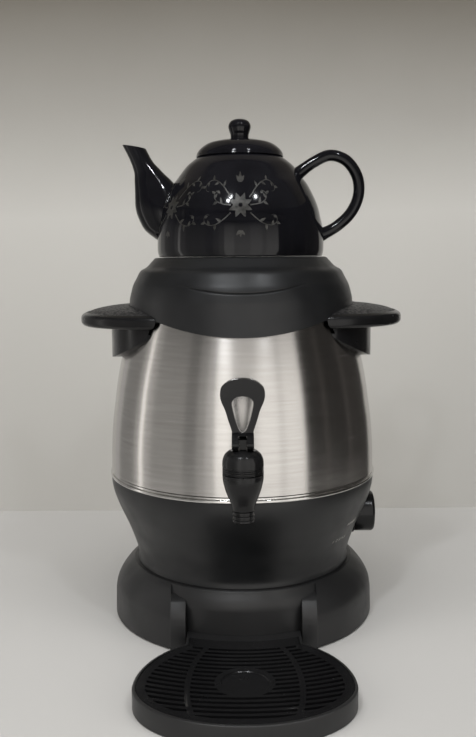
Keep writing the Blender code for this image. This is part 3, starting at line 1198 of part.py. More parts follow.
def teapot_body():
    outer = [(POT_RADIUS * r, POT_LOW + POT_HEIGHT * h) for r, h in POT_SHARES]
    top = POT_LOW + POT_HEIGHT
    foot = POT_LOW + POT_FOOT_HEIGHT
    foot_inner = POT_RADIUS - POT_FOOT_WIDTH
    pot = turned("teapot_body", [(0, foot), (foot_inner - POT_FOOT_HEIGHT, foot), (foot_inner, POT_LOW)]
                 + outer + [(0, top)], GLAZE)
    points = [Vector((POT_RADIUS * x, 0, POT_LOW + POT_HEIGHT * z)) for x, z in POT_HANDLE_SHARES]
    path = smooth_path(points, 2)
    flare = [1 + POT_HANDLE_FLARE_SHARE * max(0, 1 - min(i, len(path) - 1 - i) / POT_HANDLE_FLARE_POINTS)
             for i in range(len(path))]
    join(pot, tube("pot_handle", path, POT_HANDLE_RADIUS, radii=flare, sides=2))
    join(pot, spout_loft("pot_spout", 0, 0))
    floor = foot + POT_WALL
    inner = [p for p in shifted(outer, -POT_WALL, floor, top - POT_WALL)]
    hollow = [(0, floor)] + inner + [(POT_MOUTH_RADIUS, top - POT_WALL), (POT_MOUTH_RADIUS, top + OVERRUN),
                                     (0, top + OVERRUN)]
    cut(pot, turned("pot_hollow", hollow))
    cut(pot, spout_loft("spout_bore", POT_WALL * SPOUT_BORE_SHARE, OVERRUN))
    return pot


def teapot_lid():
    low = POT_LOW + POT_HEIGHT + GAP
    crown = low + POT_LID_RISE
    dome = [(POT_LID_RADIUS * r, low + POT_LID_RISE * h) for r, h in POT_LID_SHARES]
    knob = [(POT_KNOB_RADIUS * r, crown + POT_KNOB_HEIGHT * h) for r, h in POT_KNOB_SHARES]
    plug = POT_MOUTH_RADIUS - 2 * GAP
    profile = [(0, low + POT_LID_RISE / 2), (plug - POT_WALL, low + GAP),
               (plug - POT_WALL, low - 2 * POT_WALL), (plug, low - 2 * POT_WALL), (plug, low)] + dome + knob
    return turned("teapot_lid", profile, GLAZE)


def build():
    pedestal_base()
    pedestal_screws()
    base_plate()
    feet()
    drip_tray_pan()
    drip_tray_grille()
    lower_housing()
    trim_ring()
    steel_tank()
    heater()
    control()
    power_inlet()
    top_collar()
    tank_lid()
    handles()
    tap_body()
    tap_seals()
    tap_bonnet()
    tap_inside()
    tap_lever()
    teapot_body()
    teapot_lid()


build()
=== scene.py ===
"""The samovar's looks: fine surfaces, materials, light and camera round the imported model."""
import json
from functools import partial
from math import asin, cos, exp, pi, radians, sin, sqrt

import bmesh
import bpy
from mathutils import Matrix, Vector


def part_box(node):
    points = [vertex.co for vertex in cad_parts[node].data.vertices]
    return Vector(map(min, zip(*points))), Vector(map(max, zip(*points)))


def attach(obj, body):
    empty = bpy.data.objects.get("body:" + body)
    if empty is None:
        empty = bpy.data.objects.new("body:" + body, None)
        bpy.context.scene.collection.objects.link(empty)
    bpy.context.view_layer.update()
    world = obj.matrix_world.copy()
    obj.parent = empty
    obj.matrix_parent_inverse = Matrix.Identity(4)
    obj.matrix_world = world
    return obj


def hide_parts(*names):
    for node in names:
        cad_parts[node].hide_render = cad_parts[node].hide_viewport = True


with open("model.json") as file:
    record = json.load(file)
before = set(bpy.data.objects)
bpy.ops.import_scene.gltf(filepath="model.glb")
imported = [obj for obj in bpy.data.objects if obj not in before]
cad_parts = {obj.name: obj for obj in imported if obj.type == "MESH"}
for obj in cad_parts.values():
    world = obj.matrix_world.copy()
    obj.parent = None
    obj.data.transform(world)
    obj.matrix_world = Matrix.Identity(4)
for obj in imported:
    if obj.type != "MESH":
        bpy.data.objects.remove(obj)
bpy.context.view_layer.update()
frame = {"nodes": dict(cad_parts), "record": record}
ROOT = "samovar_body"


def low(node):
    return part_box(node)[0]


def high(node):
    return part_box(node)[1]


def centre(node):
    return (low(node) + high(node)) / 2


def up(height):
    return Vector((0, 0, height))


# ---------------------------------------------------------------- sizes, all in metres
GAP, WALL, SKIN = 0.0003, 0.0028, 0.0022
EDGE = 0.0006
PAST = 0.004  # how far a cutter reaches beyond what it cuts
ROUND_STEPS, STEEL_STEPS, BROAD_STEPS, FINE_STEPS, SMALL_STEPS, TINY_STEPS = 160, 224, 128, 96, 64, 24
SHARP, ROUND_SHARP = 35.0, 50
AXIS = Vector((0, centre("steel_tank").y, 0))
TANK_RADIUS = high("steel_tank").x
TANK_LOW, TANK_TOP = low("steel_tank").z, high("steel_tank").z
TANK_WALL, TANK_MOUTH, TANK_LIP, TANK_FOOT = 0.0010, 0.0800, 0.002, 0.004
BASE_RADIUS = high("pedestal_base").x
BASE_LOW, BASE_TOP = low("pedestal_base").z, high("pedestal_base").z
BASE_BAND, BASE_DRAFT, BASE_TOP_RADIUS = 0.020, 0.0005, 0.096
RECESS_RADIUS, RECESS_HALF, RECESS_WALL_TOP, RECESS_SHOULDER = 0.103, 0.046, 0.037, 0.0060
CHEEK, CHEEK_HEIGHT, CHEEK_SLOPE, CHEEK_SOFT = 0.0124, 0.0375, 0.0035, 0.0016
DECK_HOLE = 0.030
HOUSING_LOW, HOUSING_TOP = low("lower_housing").z, high("lower_housing").z
HOUSING_RADIUS = high("lower_housing").x
HOUSING_WAIST, HOUSING_FOOT, HOUSING_HOLE = 0.0924, 0.0930, 0.028
RING_RADIUS = high("trim_ring").x
RING_LOW, RING_TOP = low("trim_ring").z, high("trim_ring").z
RING_BEAD, RING_WIDTH, RING_SOFT = 0.0024, 0.010, 0.0008
COLLAR_LOW, COLLAR_TOP = low("top_collar").z, high("top_collar").z
COLLAR_EDGE_RADIUS, COLLAR_TOP_RADIUS = 0.0986, 0.0750
EDGE_ARC, EDGE_HALF = 0.2140, 0.066
CREASE_HALF, CREASE_ARC, CREASE_RISE, CREASE_DEPTH, CREASE_WIDTH = 0.0500, 0.1920, 0.0330, 0.0009, 0.00055
SEAT_RADIUS, SEAT_DEPTH, SEAT_THICK, SEAT_EDGE = 0.0600, 0.0052, 0.0022, 0.0008
BROW, BROW_WIDE, BROW_DROP = 0.0032, 0.0016, 0.0004
GROOVE = [-0.0016, -0.0010, -0.0006, -0.0003, 0.0, 0.0003, 0.0006, 0.0010, 0.0016]
LID_RADIUS = high("tank_lid").x
KNOB = centre("control_knob")
KNOB_BACK = low("control_knob").x
KNOB_RADIUS = high("control_knob").z - KNOB.z
DIAL_RADIUS, DIAL_THICK = high("dial_ring").z - KNOB.z, 0.0014
SPINDLE_HOLE = 0.0033
LAMP_ANGLE, LAMP_HOLE, LAMP_HEIGHT, LAMP_REACH = radians(24), 0.0034, 0.100, (0.090, 0.125)
TAP = Vector((0, centre("tap_bonnet").y, 0))
TAP_RADIUS = high("tap_bonnet").x
SEAM = low("tap_bonnet").z + 0.0030 - GAP / 2
PIN_HEIGHT = centre("lever_pin").z
POT_RADIUS = high("teapot_body").y - AXIS.y
POT_LOW = low("teapot_body").z
POT_HEIGHT, POT_WALL, POT_MOUTH = 0.0822, 0.0035, 0.0330
TRAY_HALF_WIDTH = high("drip_tray_pan").x
TRAY_HEIGHT = high("drip_tray_pan").z
TRAY_FRONT, TRAY_BACK, TRAY_WALL, TRAY_FLOOR = 0.055, 0.078, 0.0022, 0.002
TRAY_CENTRE = AXIS.y - low("drip_tray_pan").y - TRAY_FRONT
GRILLE_TOP, GRILLE_LOW = high("drip_tray_grille").z, low("drip_tray_grille").z


# ---------------------------------------------------------------- materials
CHARCOAL, SATIN, GLOSS, INLAY = ("charcoal_plastic", "satin_black_plastic", "gloss_black_plastic",
                                 "textured_black_plastic")
GLAZE, PRINT, MARK = "black_glaze", "silver_grey_print", "white_ceramic"
MIDDLE = (0.3, 0.7)  # where most of a noise lies
CLOUD_SCALE, GLOSS_SCALE, GLAZE_SCALE, PEEL_SCALE, WEAR_SCALE, LOZENGE_SCALE = 25.0, 60.0, 30.0, 90.0, 220.0, 420.0
HAIR, BAND = ((1.2, 1, 5200), 5.0, 0.7), ((2.5, 1, 420), 3.0, 0.5)


def shader_of(name, colour, roughness, metallic=0.0, **sockets):
    made = bpy.data.materials.new(name)
    made.use_nodes = True
    shader = made.node_tree.nodes["Principled BSDF"]
    sockets.update(Base_Color=(*colour, 1), Roughness=roughness, Metallic=metallic)
    for key, value in sockets.items():
        shader.inputs[key.replace("_", " ")].default_value = value
    return made, made.node_tree, shader


def node(tree, kind, links=None, **settings):
    made = tree.nodes.new("ShaderNode" + kind)
    for key, value in settings.items():
        setattr(made, key, value)
    for key, value in (links or {}).items():
        if isinstance(value, bpy.types.NodeSocket):
            tree.links.new(value, made.inputs[key])
        else:
            made.inputs[key].default_value = value
    return made


def place_of(tree):
    return node(tree, "TexCoord").outputs["Object"]


def height_of(tree, place):
    return node(tree, "SeparateXYZ", {"Vector": place}).outputs["Z"]


def maths(tree, operation, first, second, **settings):
    return node(tree, "Math", {0: first, 1: second}, operation=operation, **settings).outputs[0]


def noise(tree, vector, scale, detail=3.0, rough=0.5):
    return node(tree, "TexNoise", {"Vector": vector, "Scale": scale, "Detail": detail,
                                   "Roughness": rough}).outputs["Fac"]


def spread(tree, value, low_value, high_value, first=0.0, last=1.0, **settings):
    return node(tree, "MapRange", {"Value": value, "From Min": first, "From Max": last, "To Min": low_value,
                                   "To Max": high_value}, **settings).outputs["Result"]


def ramp_of(tree, value, first, last, ends=(0.0, 1.0)):
    ramp = node(tree, "ValToRGB", {"Fac": value})
    for element, colour, position in zip(ramp.color_ramp.elements, (first, last), ends):
        element.color, element.position = (*colour, 1), position
    return ramp


def paint(tree, shader, value, dark, light):
    tree.links.new(ramp_of(tree, value, dark, light, MIDDLE).outputs["Color"], shader.inputs["Base Color"])


def gloss(tree, shader, value, smooth, rough, between=MIDDLE):
    tree.links.new(spread(tree, value, smooth, rough, *between), shader.inputs["Roughness"])


def bump(tree, shader, height, distance, strength=1.0, **settings):
    made = node(tree, "Bump", {"Height": height, "Distance": distance, "Strength": strength}, **settings)
    tree.links.new(made.outputs["Normal"], shader.inputs["Normal"])


def plastic(name, dark, light, roughness, grain, depth, **sockets):
    """Moulded plastic: a fine spark-eroded grain, faint cloudiness and a little uneven gloss."""
    made, tree, shader = shader_of(name, light, roughness, **sockets)
    place = place_of(tree)
    paint(tree, shader, noise(tree, place, CLOUD_SCALE), dark, light)
    gloss(tree, shader, noise(tree, place, GLOSS_SCALE, 4.0), roughness - 0.05, roughness + 0.07)
    bump(tree, shader, noise(tree, place, grain, 2.0), depth)
    return made


def brushed(name, dark, light, roughness, depth):
    """Steel brushed round the body: long hair lines along the turn, crossing none."""
    made, tree, shader = shader_of(name, light, roughness, 1.0, Anisotropic=0.85, Anisotropic_Rotation=0.25,
                                   IOR=2.5)
    x, y, z = node(tree, "SeparateXYZ", {"Vector": place_of(tree)}).outputs
    turn = maths(tree, "ARCTAN2", maths(tree, "SUBTRACT", y, AXIS.y), x)
    line = node(tree, "CombineXYZ", {"X": turn, "Z": z}).outputs["Vector"]
    streaks, bands = (noise(tree, node(tree, "Mapping", {"Vector": line, "Scale": scale}).outputs["Vector"], 1.0,
                            detail, rough) for scale, detail, rough in (HAIR, BAND))
    mixed = maths(tree, "MULTIPLY", maths(tree, "ADD", streaks, bands), 0.5)
    paint(tree, shader, mixed, dark, light)
    gloss(tree, shader, mixed, roughness - 0.03, roughness + 0.04)
    bump(tree, shader, streaks, depth)
    tangent = node(tree, "Tangent", direction_type="RADIAL", axis="Z")
    tree.links.new(tangent.outputs["Tangent"], shader.inputs["Tangent"])
    return made


def metal(name, colour, roughness, grain=600.0, depth=0.00001):
    made, tree, shader = shader_of(name, colour, roughness, 1.0)
    place = place_of(tree)
    shade = noise(tree, place, grain / 6, 4.0)
    paint(tree, shader, shade, tuple(c * 0.82 for c in colour), colour)
    gloss(tree, shader, shade, roughness * 0.8, roughness * 1.3)
    bump(tree, shader, noise(tree, place, grain), depth)
    return made


def glaze(name, dark, light):
    """Black glaze over thrown clay, with the faintest orange peel."""
    made, tree, shader = shader_of(name, light, 0.08, Specular_IOR_Level=0.36)
    place = place_of(tree)
    shade = noise(tree, place, GLAZE_SCALE, 4.0)
    paint(tree, shader, shade, dark, light)
    gloss(tree, shader, shade, 0.05, 0.12)
    bump(tree, shader, noise(tree, place, PEEL_SCALE, 2.0), 0.00012, 0.35)
    return made


def ornament_print(name, dark, light):
    """The dim silver-grey print on the glaze, worn thin in places."""
    made, tree, shader = shader_of(name, light, 0.35, 0.5)
    wear = noise(tree, place_of(tree), WEAR_SCALE, 5.0, 0.7)
    paint(tree, shader, wear, dark, light)
    gloss(tree, shader, wear, 0.25, 0.5)
    return made


def inlay_grain(name, dark, light):
    """The grip's insert: rows of small raised lozenges, painted lighter on their raised middles and darker in the
    grooves between them as painted shade.
    """
    made, tree, shader = shader_of(name, light, 0.45)
    cells = node(tree, "TexVoronoi", {"Vector": place_of(tree), "Scale": LOZENGE_SCALE},
                 feature="F1").outputs["Distance"]
    # Painted shade: the first colour goes on the lozenges' raised middles, and the second, darker one in the grooves
    # between them.
    paint(tree, shader, cells, dark, light)
    gloss(tree, shader, cells, 0.35, 0.6, (0.2, 0.8))
    bump(tree, shader, cells, 0.0004, invert=True)
    return made


PLASTICS = (
    (CHARCOAL, (0.009, 0.009, 0.0095), (0.0125, 0.0125, 0.013), 0.42, 2600.0, 0.00005, {}),
    (SATIN, (0.006, 0.0063, 0.007), (0.009, 0.0094, 0.0102), 0.38, 3000.0, 0.00004, {}),
    (GLOSS, (0.0055, 0.0055, 0.006), (0.008, 0.008, 0.0085), 0.22, 900.0, 0.00001, {"Specular_IOR_Level": 0.32}),
    ("black_rubber", (0.012, 0.012, 0.012), (0.022, 0.022, 0.022), 0.75, 1500.0, 0.00008, {}),
    ("clear_silicone", (0.45, 0.45, 0.43), (0.60, 0.60, 0.57), 0.45, 800.0, 0.00003, {"Subsurface_Weight": 0.3}),
    ("amber_lens", (0.55, 0.16, 0.02), (0.70, 0.24, 0.03), 0.15, 400.0, 0.00001, {"Transmission_Weight": 0.4}),
    (MARK, (0.62, 0.60, 0.55), (0.72, 0.70, 0.65), 0.5, 900.0, 0.00004, {}))
METALS = (
    ("polished_steel", (0.72, 0.71, 0.69), 0.14), ("plated_steel", (0.55, 0.55, 0.54), 0.33),
    ("cast_aluminium", (0.62, 0.62, 0.63), 0.45, 900.0, 0.0001), ("copper_tube", (0.72, 0.42, 0.28), 0.30))
MATERIAL = {name: plastic(name, *row, **sockets) for name, *row, sockets in PLASTICS}
MATERIAL.update((row[0], metal(*row)) for row in METALS)
MATERIAL["brushed_steel"] = brushed("brushed_steel", (0.54, 0.52, 0.50), (0.66, 0.645, 0.625), 0.24, 0.000006)
MATERIAL[GLAZE] = glaze(GLAZE, (0.0035, 0.0035, 0.0045), (0.007, 0.007, 0.009))
MATERIAL[PRINT] = ornament_print(PRINT, (0.014, 0.014, 0.0135), (0.085, 0.083, 0.078))
# The insert's lighter colour comes first, for the lozenges' raised middles. The darker second colour is painted shade
# in the grooves.
MATERIAL[INLAY] = inlay_grain(INLAY, (0.020, 0.020, 0.021), (0.006, 0.006, 0.0065))
for entry in frame["record"]["subparts"]:
    slots = frame["nodes"][entry["node"]].data.materials
    slots.clear()
    slots.append(MATERIAL[entry["material_slot"]])


# ---------------------------------------------------------------- shapes
def flat(points):
    return [(p[0], p[1]) for p in points]


def smooth_path(points, per_span=6):
    """Points on a smooth curve through the given ones."""
    points = [Vector(p) for p in points]
    ends = [2 * points[0] - points[1]] + points + [2 * points[-1] - points[-2]]
    path = []
    for a, b, c, d in zip(ends, ends[1:], ends[2:], ends[3:]):
        for i in range(per_span):
            t = i / per_span
            path.append((2 * b + (c - a) * t + (2 * a - 5 * b + 4 * c - d) * t ** 2
                         + (3 * b - a - 3 * c + d) * t ** 3) / 2)
    return path + [points[-1]]


def curve(shares, bottom, top, inner, outer, per_span=6):
    """A smooth outline through shares of a width and a height."""
    return flat(smooth_path([(inner + (outer - inner) * r, bottom + (top - bottom) * h) for r, h in shares],
                            per_span))


def rounded(points, radius, least=0.35):
    """The outline with each sharp corner turned into a small arc. The two ends stay."""
    points = [Vector(p) for p in points]
    made = [points[0]]
    for a, b, c in zip(points, points[1:], points[2:]):
        before, after = a - b, c - b
        if before.length < 1e-9 or after.length < 1e-9:
            continue
        if before.angle(after) > pi - least:
            made.append(b)
            continue
        reach = min(radius, before.length * 0.45, after.length * 0.45)
        start, end = b + before.normalized() * reach, b + after.normalized() * reach
        made += [start.lerp(b, t).lerp(b.lerp(end, t), t) for t in (0, 0.25, 0.5, 0.75, 1)]
    return flat(made + [points[-1]])


def radius_at(profile, height):
    for (r1, z1), (r2, z2) in zip(profile, profile[1:]):
        if z1 <= height <= z2:
            return r1 + (r2 - r1) * (height - z1) / (z2 - z1)
    return profile[-1][0] if height > profile[-1][1] else profile[0][0]


def inward(profile, thickness, above, below):
    """The part of an outline between two heights, set inwards by a thickness."""
    return [(r - thickness, z) for r, z in profile if above < z < below]


def oval(half_width, half_length, count, first=0.0, last=2 * pi, closed=True):
    steps = count if closed else count + 1
    return [(half_width * cos(first + (last - first) * i / count),
             half_length * sin(first + (last - first) * i / count)) for i in range(steps)]


def arc(radius, first, last, count):
    return oval(radius, radius, count, first, last, False)


def new_object(name, data):
    made = bpy.data.objects.new(name, data)
    bpy.context.scene.collection.objects.link(made)
    return made


def mesh_of(name, shape):
    mesh = bpy.data.meshes.new(name)
    shape.to_mesh(mesh)
    shape.free()
    return mesh


def piece(name, shape, slot=None, body=None, stands_for=None, sharp=SHARP):
    """Turns a bmesh into an object that rides on a body. Without a slot it is a cutter."""
    bmesh.ops.recalc_face_normals(shape, faces=shape.faces)
    made = new_object(name, mesh_of(name, shape))
    if slot:
        made.data.materials.append(MATERIAL[slot])
        finish_mesh(made, sharp)
    if body:
        settle(made, body, stands_for)
    return made


def settle(made, body, stands_for=None):
    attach(made, body)
    if stands_for:
        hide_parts(stands_for)


def finish_mesh(made, sharp):
    made.data.shade_smooth()
    made.data.set_sharp_from_angle(angle=radians(sharp))


def turned(name, profile, slot=None, body=None, stands_for=None, steps=ROUND_STEPS, at=AXIS, turn=Matrix(),
           sharp=SHARP):
    """A closed outline of (radius, height) turned about Z."""
    shape = bmesh.new()
    rings = []
    closed = not (profile[0][0] < 1e-9 and profile[-1][0] < 1e-9)
    for r, z in profile:
        around = steps if r >= 1e-9 else 0
        rings.append([shape.verts.new((r * cos(2 * pi * k / around),
                                       r * sin(2 * pi * k / around), z)) for k in range(around)]
                     or [shape.verts.new((0, 0, z))])
    for a, b in list(zip(rings, rings[1:])) + ([(rings[-1], rings[0])] if closed else []):
        for k in range(steps):
            j = (k + 1) % steps
            unique = list(dict.fromkeys((a[k % len(a)], a[j % len(a)], b[j % len(b)], b[k % len(b)])))
            if len(unique) > 2:
                shape.faces.new(unique)
    shape.transform(Matrix.Translation(at) @ turn)
    return piece(name, shape, slot, body, stands_for, sharp)


def prism_shape(outline, bottom, top, at=Vector(), turn=Matrix()):
    """A flat outline in X and Y between two heights."""
    shape = bmesh.new()
    face = shape.faces.new([shape.verts.new((x, y, bottom)) for x, y in outline])
    made = bmesh.ops.extrude_face_region(shape, geom=[face])
    upper = [v for v in made["geom"] if isinstance(v, bmesh.types.BMVert)]
    bmesh.ops.translate(shape, verts=upper, vec=(0, 0, top - bottom))
    shape.transform(Matrix.Translation(at) @ turn)
    return shape


def prism(name, outline, bottom, top, slot=None, at=AXIS, turn=Matrix()):
    return piece(name, prism_shape(outline, bottom, top, at, turn), slot)


def block(name, size, at, slot=None):
    shape = bmesh.new()
    bmesh.ops.create_cube(shape, size=1.0, matrix=Matrix.Translation(at) @ Matrix.Diagonal((*size, 1)))
    return piece(name, shape, slot)


def bar(name, radius, start, end, steps=SMALL_STEPS):
    shape = bmesh.new()
    bmesh.ops.create_cone(shape, cap_ends=True, segments=steps, radius1=radius, radius2=radius,
                          depth=(end - start).length)
    shape.transform(Matrix.Translation((start + end) / 2)
                    @ (end - start).to_track_quat("Z", "Y").to_matrix().to_4x4())
    return piece(name, shape)


def loft(name, rings):
    """A closed skin over rings of as many points each."""
    shape = bmesh.new()
    rings = [[shape.verts.new(p) for p in ring] for ring in rings]
    for a, b in zip(rings, rings[1:]):
        for k in range(len(a)):
            shape.faces.new((a[k], a[k - 1], b[k - 1], b[k]))
    shape.faces.new(rings[0])
    shape.faces.new(rings[-1])
    return piece(name, shape)


def combine(operation, made, *others, sharp=SHARP):
    for other in others:
        modifier = made.modifiers.new(operation.lower(), "BOOLEAN")
        modifier.operation, modifier.object, modifier.solver = operation, other, "EXACT"
        apply(made)
        bpy.data.objects.remove(other)
    finish_mesh(made, sharp)
    return made


cut = partial(combine, "DIFFERENCE")
join = partial(combine, "UNION")
keep = partial(combine, "INTERSECT")


def soften(made, width, segments=2, limit=40.0):
    modifier = made.modifiers.new("round", "BEVEL")
    modifier.width, modifier.segments = width, segments
    modifier.limit_method, modifier.angle_limit = "ANGLE", radians(limit)
    modifier.use_clamp_overlap = True
    modifier.miter_outer = "MITER_ARC"
    apply(made)


def apply(made):
    graph = bpy.context.evaluated_depsgraph_get()
    graph.update()
    mesh = bpy.data.meshes.new_from_object(made.evaluated_get(graph))
    made.modifiers.clear()
    old = made.data
    made.data = mesh
    mesh.name = old.name
    bpy.data.meshes.remove(old)


# ---------------------------------------------------------------- outlines shared by several pieces
FLARE_SHARES = [(1.0, 0.0), (0.93, 0.25), (0.765, 0.47), (0.53, 0.68), (0.26, 0.87), (0.0, 1.0)]
HOUSING_SHARES = [(0.027, 0.0), (0.0, 0.069), (0.073, 0.180), (0.214, 0.305), (0.368, 0.426), (0.561, 0.554),
                  (0.709, 0.6525), (0.832, 0.745), (0.909, 0.812), (0.964, 0.878), (0.991, 0.938), (1.0, 1.0)]
TANK_SHARES = [(1.0, 0.0), (0.9957, 0.132), (0.9823, 0.2666), (0.9622, 0.378), (0.9411, 0.487), (0.908, 0.608),
               (0.8537, 0.764), (0.8045, 0.887), (0.7633, 1.0)]
COLLAR_SHARES = [(1.0, 0.0), (0.970, 0.06), (0.915, 0.22), (0.873, 0.37), (0.856, 0.437), (0.797, 0.535),
                 (0.720, 0.630), (0.610, 0.712), (0.500, 0.795), (0.411, 0.832), (0.246, 0.866), (0.136, 0.907),
                 (0.030, 0.952), (-0.05, 0.985)]
FLARE = curve(FLARE_SHARES, BASE_LOW + BASE_BAND, BASE_TOP, BASE_TOP_RADIUS, BASE_RADIUS - BASE_DRAFT)
HOUSING = curve(HOUSING_SHARES, HOUSING_LOW, HOUSING_TOP, HOUSING_WAIST, HOUSING_RADIUS)
TANK = curve(TANK_SHARES, TANK_LOW, TANK_TOP, 0, TANK_RADIUS)
COLLAR = curve(COLLAR_SHARES, COLLAR_LOW, COLLAR_TOP, COLLAR_TOP_RADIUS, COLLAR_EDGE_RADIUS, 4)


# ---------------------------------------------------------------- pedestal, tray and housing
def recess(name, grow, soft=0.0):
    """The space in front of the recess wall, whose shoulder rolls over into the deck."""
    wall, upper, outside = RECESS_RADIUS - grow, BASE_TOP_RADIUS - grow, BASE_RADIUS + PAST
    bottom, top = BASE_LOW - 2 * PAST, BASE_TOP + 2 * PAST
    inner = [(wall, bottom), (wall, BASE_LOW + RECESS_WALL_TOP), (upper, BASE_TOP), (upper, top)]
    inner = rounded(inner, soft, 0.1) if soft else inner
    ring = turned(name, inner + [(outside, top), (outside, bottom)])
    half = RECESS_HALF + CHEEK + grow
    window = block(name + "_window", (2 * half, outside, BASE_TOP * 3),
                   AXIS + Vector((0, -(BASE_TOP_RADIUS + outside) / 2, BASE_TOP / 2)))
    return keep(ring, window)


def pedestal():
    outer = [(BASE_RADIUS - EDGE, BASE_LOW), (BASE_RADIUS, BASE_LOW + EDGE)] + FLARE
    base = turned("pedestal_base_shell", [(0, BASE_LOW)] + outer + [(0, BASE_TOP)], CHARCOAL)
    cut(base, recess("recess", 0, RECESS_SHOULDER))
    middle, cheek_top = RECESS_HALF + CHEEK / 2, BASE_LOW + CHEEK_HEIGHT
    side = [(sqrt(r * r - middle * middle), z) for r, z in outer if z < cheek_top - GAP]
    side.append((sqrt(radius_at(outer, cheek_top) ** 2 - middle * middle), cheek_top))
    inner = sqrt(RECESS_RADIUS ** 2 - middle ** 2) - 2 * WALL
    outline = [(inner, BASE_LOW)] + side + [(inner, cheek_top + CHEEK_SLOPE)]
    for sign in (1, -1):
        shape = prism_shape(outline, middle - CHEEK / 2, middle + CHEEK / 2)
        shape.transform(Matrix.Translation(AXIS)
                        @ Matrix(((0, 0, sign, 0), (-1, 0, 0, 0), (0, 1, 0, 0), (0, 0, 0, 1))))
        cheek = piece("cheek", shape)
        soften(cheek, CHEEK_SOFT, 3)
        join(base, cheek)
    deck, under = BASE_TOP - WALL, BASE_LOW - PAST
    hollow = inward(outer, WALL, BASE_LOW + 0.001, deck - GAP)
    hollow = [(0, under), (hollow[0][0], under)] + hollow + [(radius_at(outer, deck) - WALL, deck), (0, deck)]
    cavity = cut(turned("pedestal_hollow", hollow), recess("recess_guard", WALL))
    cut(base, cavity, bar("pedestal_hole", DECK_HOLE, AXIS + up(deck - PAST),
                          AXIS + up(BASE_TOP + PAST)), sharp=32)
    settle(base, ROOT, "pedestal_base")


TRAY_EDGE, TRAY_SOFT, TRAY_STEP = 0.1145, 0.0011, 0.0015
RIM, RIM_BACK, RIM_SIDE = TRAY_WALL + GAP, 0.0070, 0.0035
SLOT_ROWS, SLOT_FIRST, SLOT_PITCH, SLOT_WIDE = 17, 0.1285, 0.0060, 0.0030
RIB_OUTER, RIB_INNER = (0.0421, 0.085), (0.0379, 0.0808)
CUP_FORWARD, CUP_RING, CUP_RADIUS, CUP_DEEP, CUP_SOFT = 0.0040, 0.0215, 0.0170, 0.0010, 0.0006


def tray_outline(inset, tongue_inset, back_radius):
    width, front, back = TRAY_HALF_WIDTH - inset, TRAY_FRONT - inset, TRAY_BACK - inset
    tongue = RECESS_HALF - 0.001 - tongue_inset
    joint = asin(sqrt(1 - (tongue / width) ** 2))
    points = oval(width, back, 14, pi - joint, pi, False)
    points += oval(width, front, 72, pi, 2 * pi, False)[1:]
    points += oval(width, back, 14, 0, joint, False)[1:]
    swing = asin(tongue / back_radius)
    return on_tray(points) + arc(back_radius, -pi / 2 + swing, -pi / 2 - swing, 30)


def on_tray(points):
    return [(x, y - TRAY_CENTRE) for x, y in points]


def washer(name, inner, outer, bottom, top, **rest):
    return turned(name, [(inner, bottom), (outer, bottom), (outer, top), (inner, top)], **rest)


def tray():
    back, drop_edge, drop_low = RECESS_RADIUS + GAP, TRAY_EDGE + TRAY_WALL / 2, TRAY_HEIGHT - TRAY_STEP
    pan = prism("drip_tray_body", tray_outline(0, 0, back), 0, TRAY_HEIGHT, CHARCOAL)
    soften(pan, TRAY_SOFT, 3)
    ledge = prism("seat", tray_outline(TRAY_WALL, TRAY_WALL, TRAY_EDGE), GRILLE_LOW - GAP, TRAY_HEIGHT + PAST)
    bowl = prism("bowl", tray_outline(2 * TRAY_WALL, 2 * TRAY_WALL, TRAY_EDGE + TRAY_WALL), TRAY_FLOOR, TRAY_HEIGHT)
    drop = keep(washer("drop", back - PAST, drop_edge, drop_low, TRAY_HEIGHT + PAST),
                block("drop_window", (2 * TRAY_HALF_WIDTH, TRAY_EDGE, 0.05),
                      AXIS + Vector((0, -TRAY_EDGE, TRAY_HEIGHT))))
    cut(pan, ledge, bowl, drop)
    settle(pan, "drip_tray", "drip_tray_pan")

    grille = prism("drip_tray_grating", tray_outline(RIM, RIM, TRAY_EDGE + GAP), GRILLE_LOW, GRILLE_TOP, GLOSS)
    field = prism("field", tray_outline(TRAY_WALL + RIM_BACK, TRAY_WALL + RIM_SIDE, TRAY_EDGE + RIM_BACK),
                  GRILLE_LOW - PAST, GRILLE_TOP + PAST)
    shape = bmesh.new()
    for row in range(SLOT_ROWS):
        inner = SLOT_FIRST + row * SLOT_PITCH
        swing = asin(min(1, (TRAY_HALF_WIDTH + PAST) / inner))
        slot = arc(inner, -pi / 2 - swing, -pi / 2 + swing, 40)
        slot += arc(inner + SLOT_WIDE, -pi / 2 + swing, -pi / 2 - swing, 40)
        mesh = mesh_of("ring", prism_shape(slot, GRILLE_LOW - 2 * PAST, GRILLE_TOP + 2 * PAST, AXIS))
        shape.from_mesh(mesh)
        bpy.data.meshes.remove(mesh)
    rings = piece("rings", shape)
    ribs = prism("ribs", on_tray(oval(*RIB_OUTER, 96)), GRILLE_LOW - 3 * PAST, GRILLE_TOP + 3 * PAST)
    cut(ribs, prism("ribs_inside", on_tray(oval(*RIB_INNER, 96)), GRILLE_LOW - 5 * PAST, GRILLE_TOP + 5 * PAST))
    keep(field, rings)
    cup = {"steps": FINE_STEPS, "at": AXIS - Vector((0, TRAY_CENTRE - CUP_FORWARD, 0))}
    cut(field, ribs, washer("cup_ring", 0, CUP_RING, GRILLE_LOW - 3 * PAST, GRILLE_TOP + 3 * PAST, **cup))
    dish = GRILLE_TOP - CUP_DEEP
    cut(grille, field,
        turned("dish", [(0, dish), (CUP_RADIUS - CUP_SOFT, dish), (CUP_RADIUS, dish + CUP_SOFT),
                        (CUP_RADIUS, GRILLE_TOP + PAST), (0, GRILLE_TOP + PAST)], **cup))
    soften(grille, 0.00035, 1, 50)
    settle(grille, "grille", "drip_tray_grille")


BOSS_REACH, INLET_STEP, INLET_WINDOW = 0.12, 0.0020, (0.0291, 0.06, 0.0216)


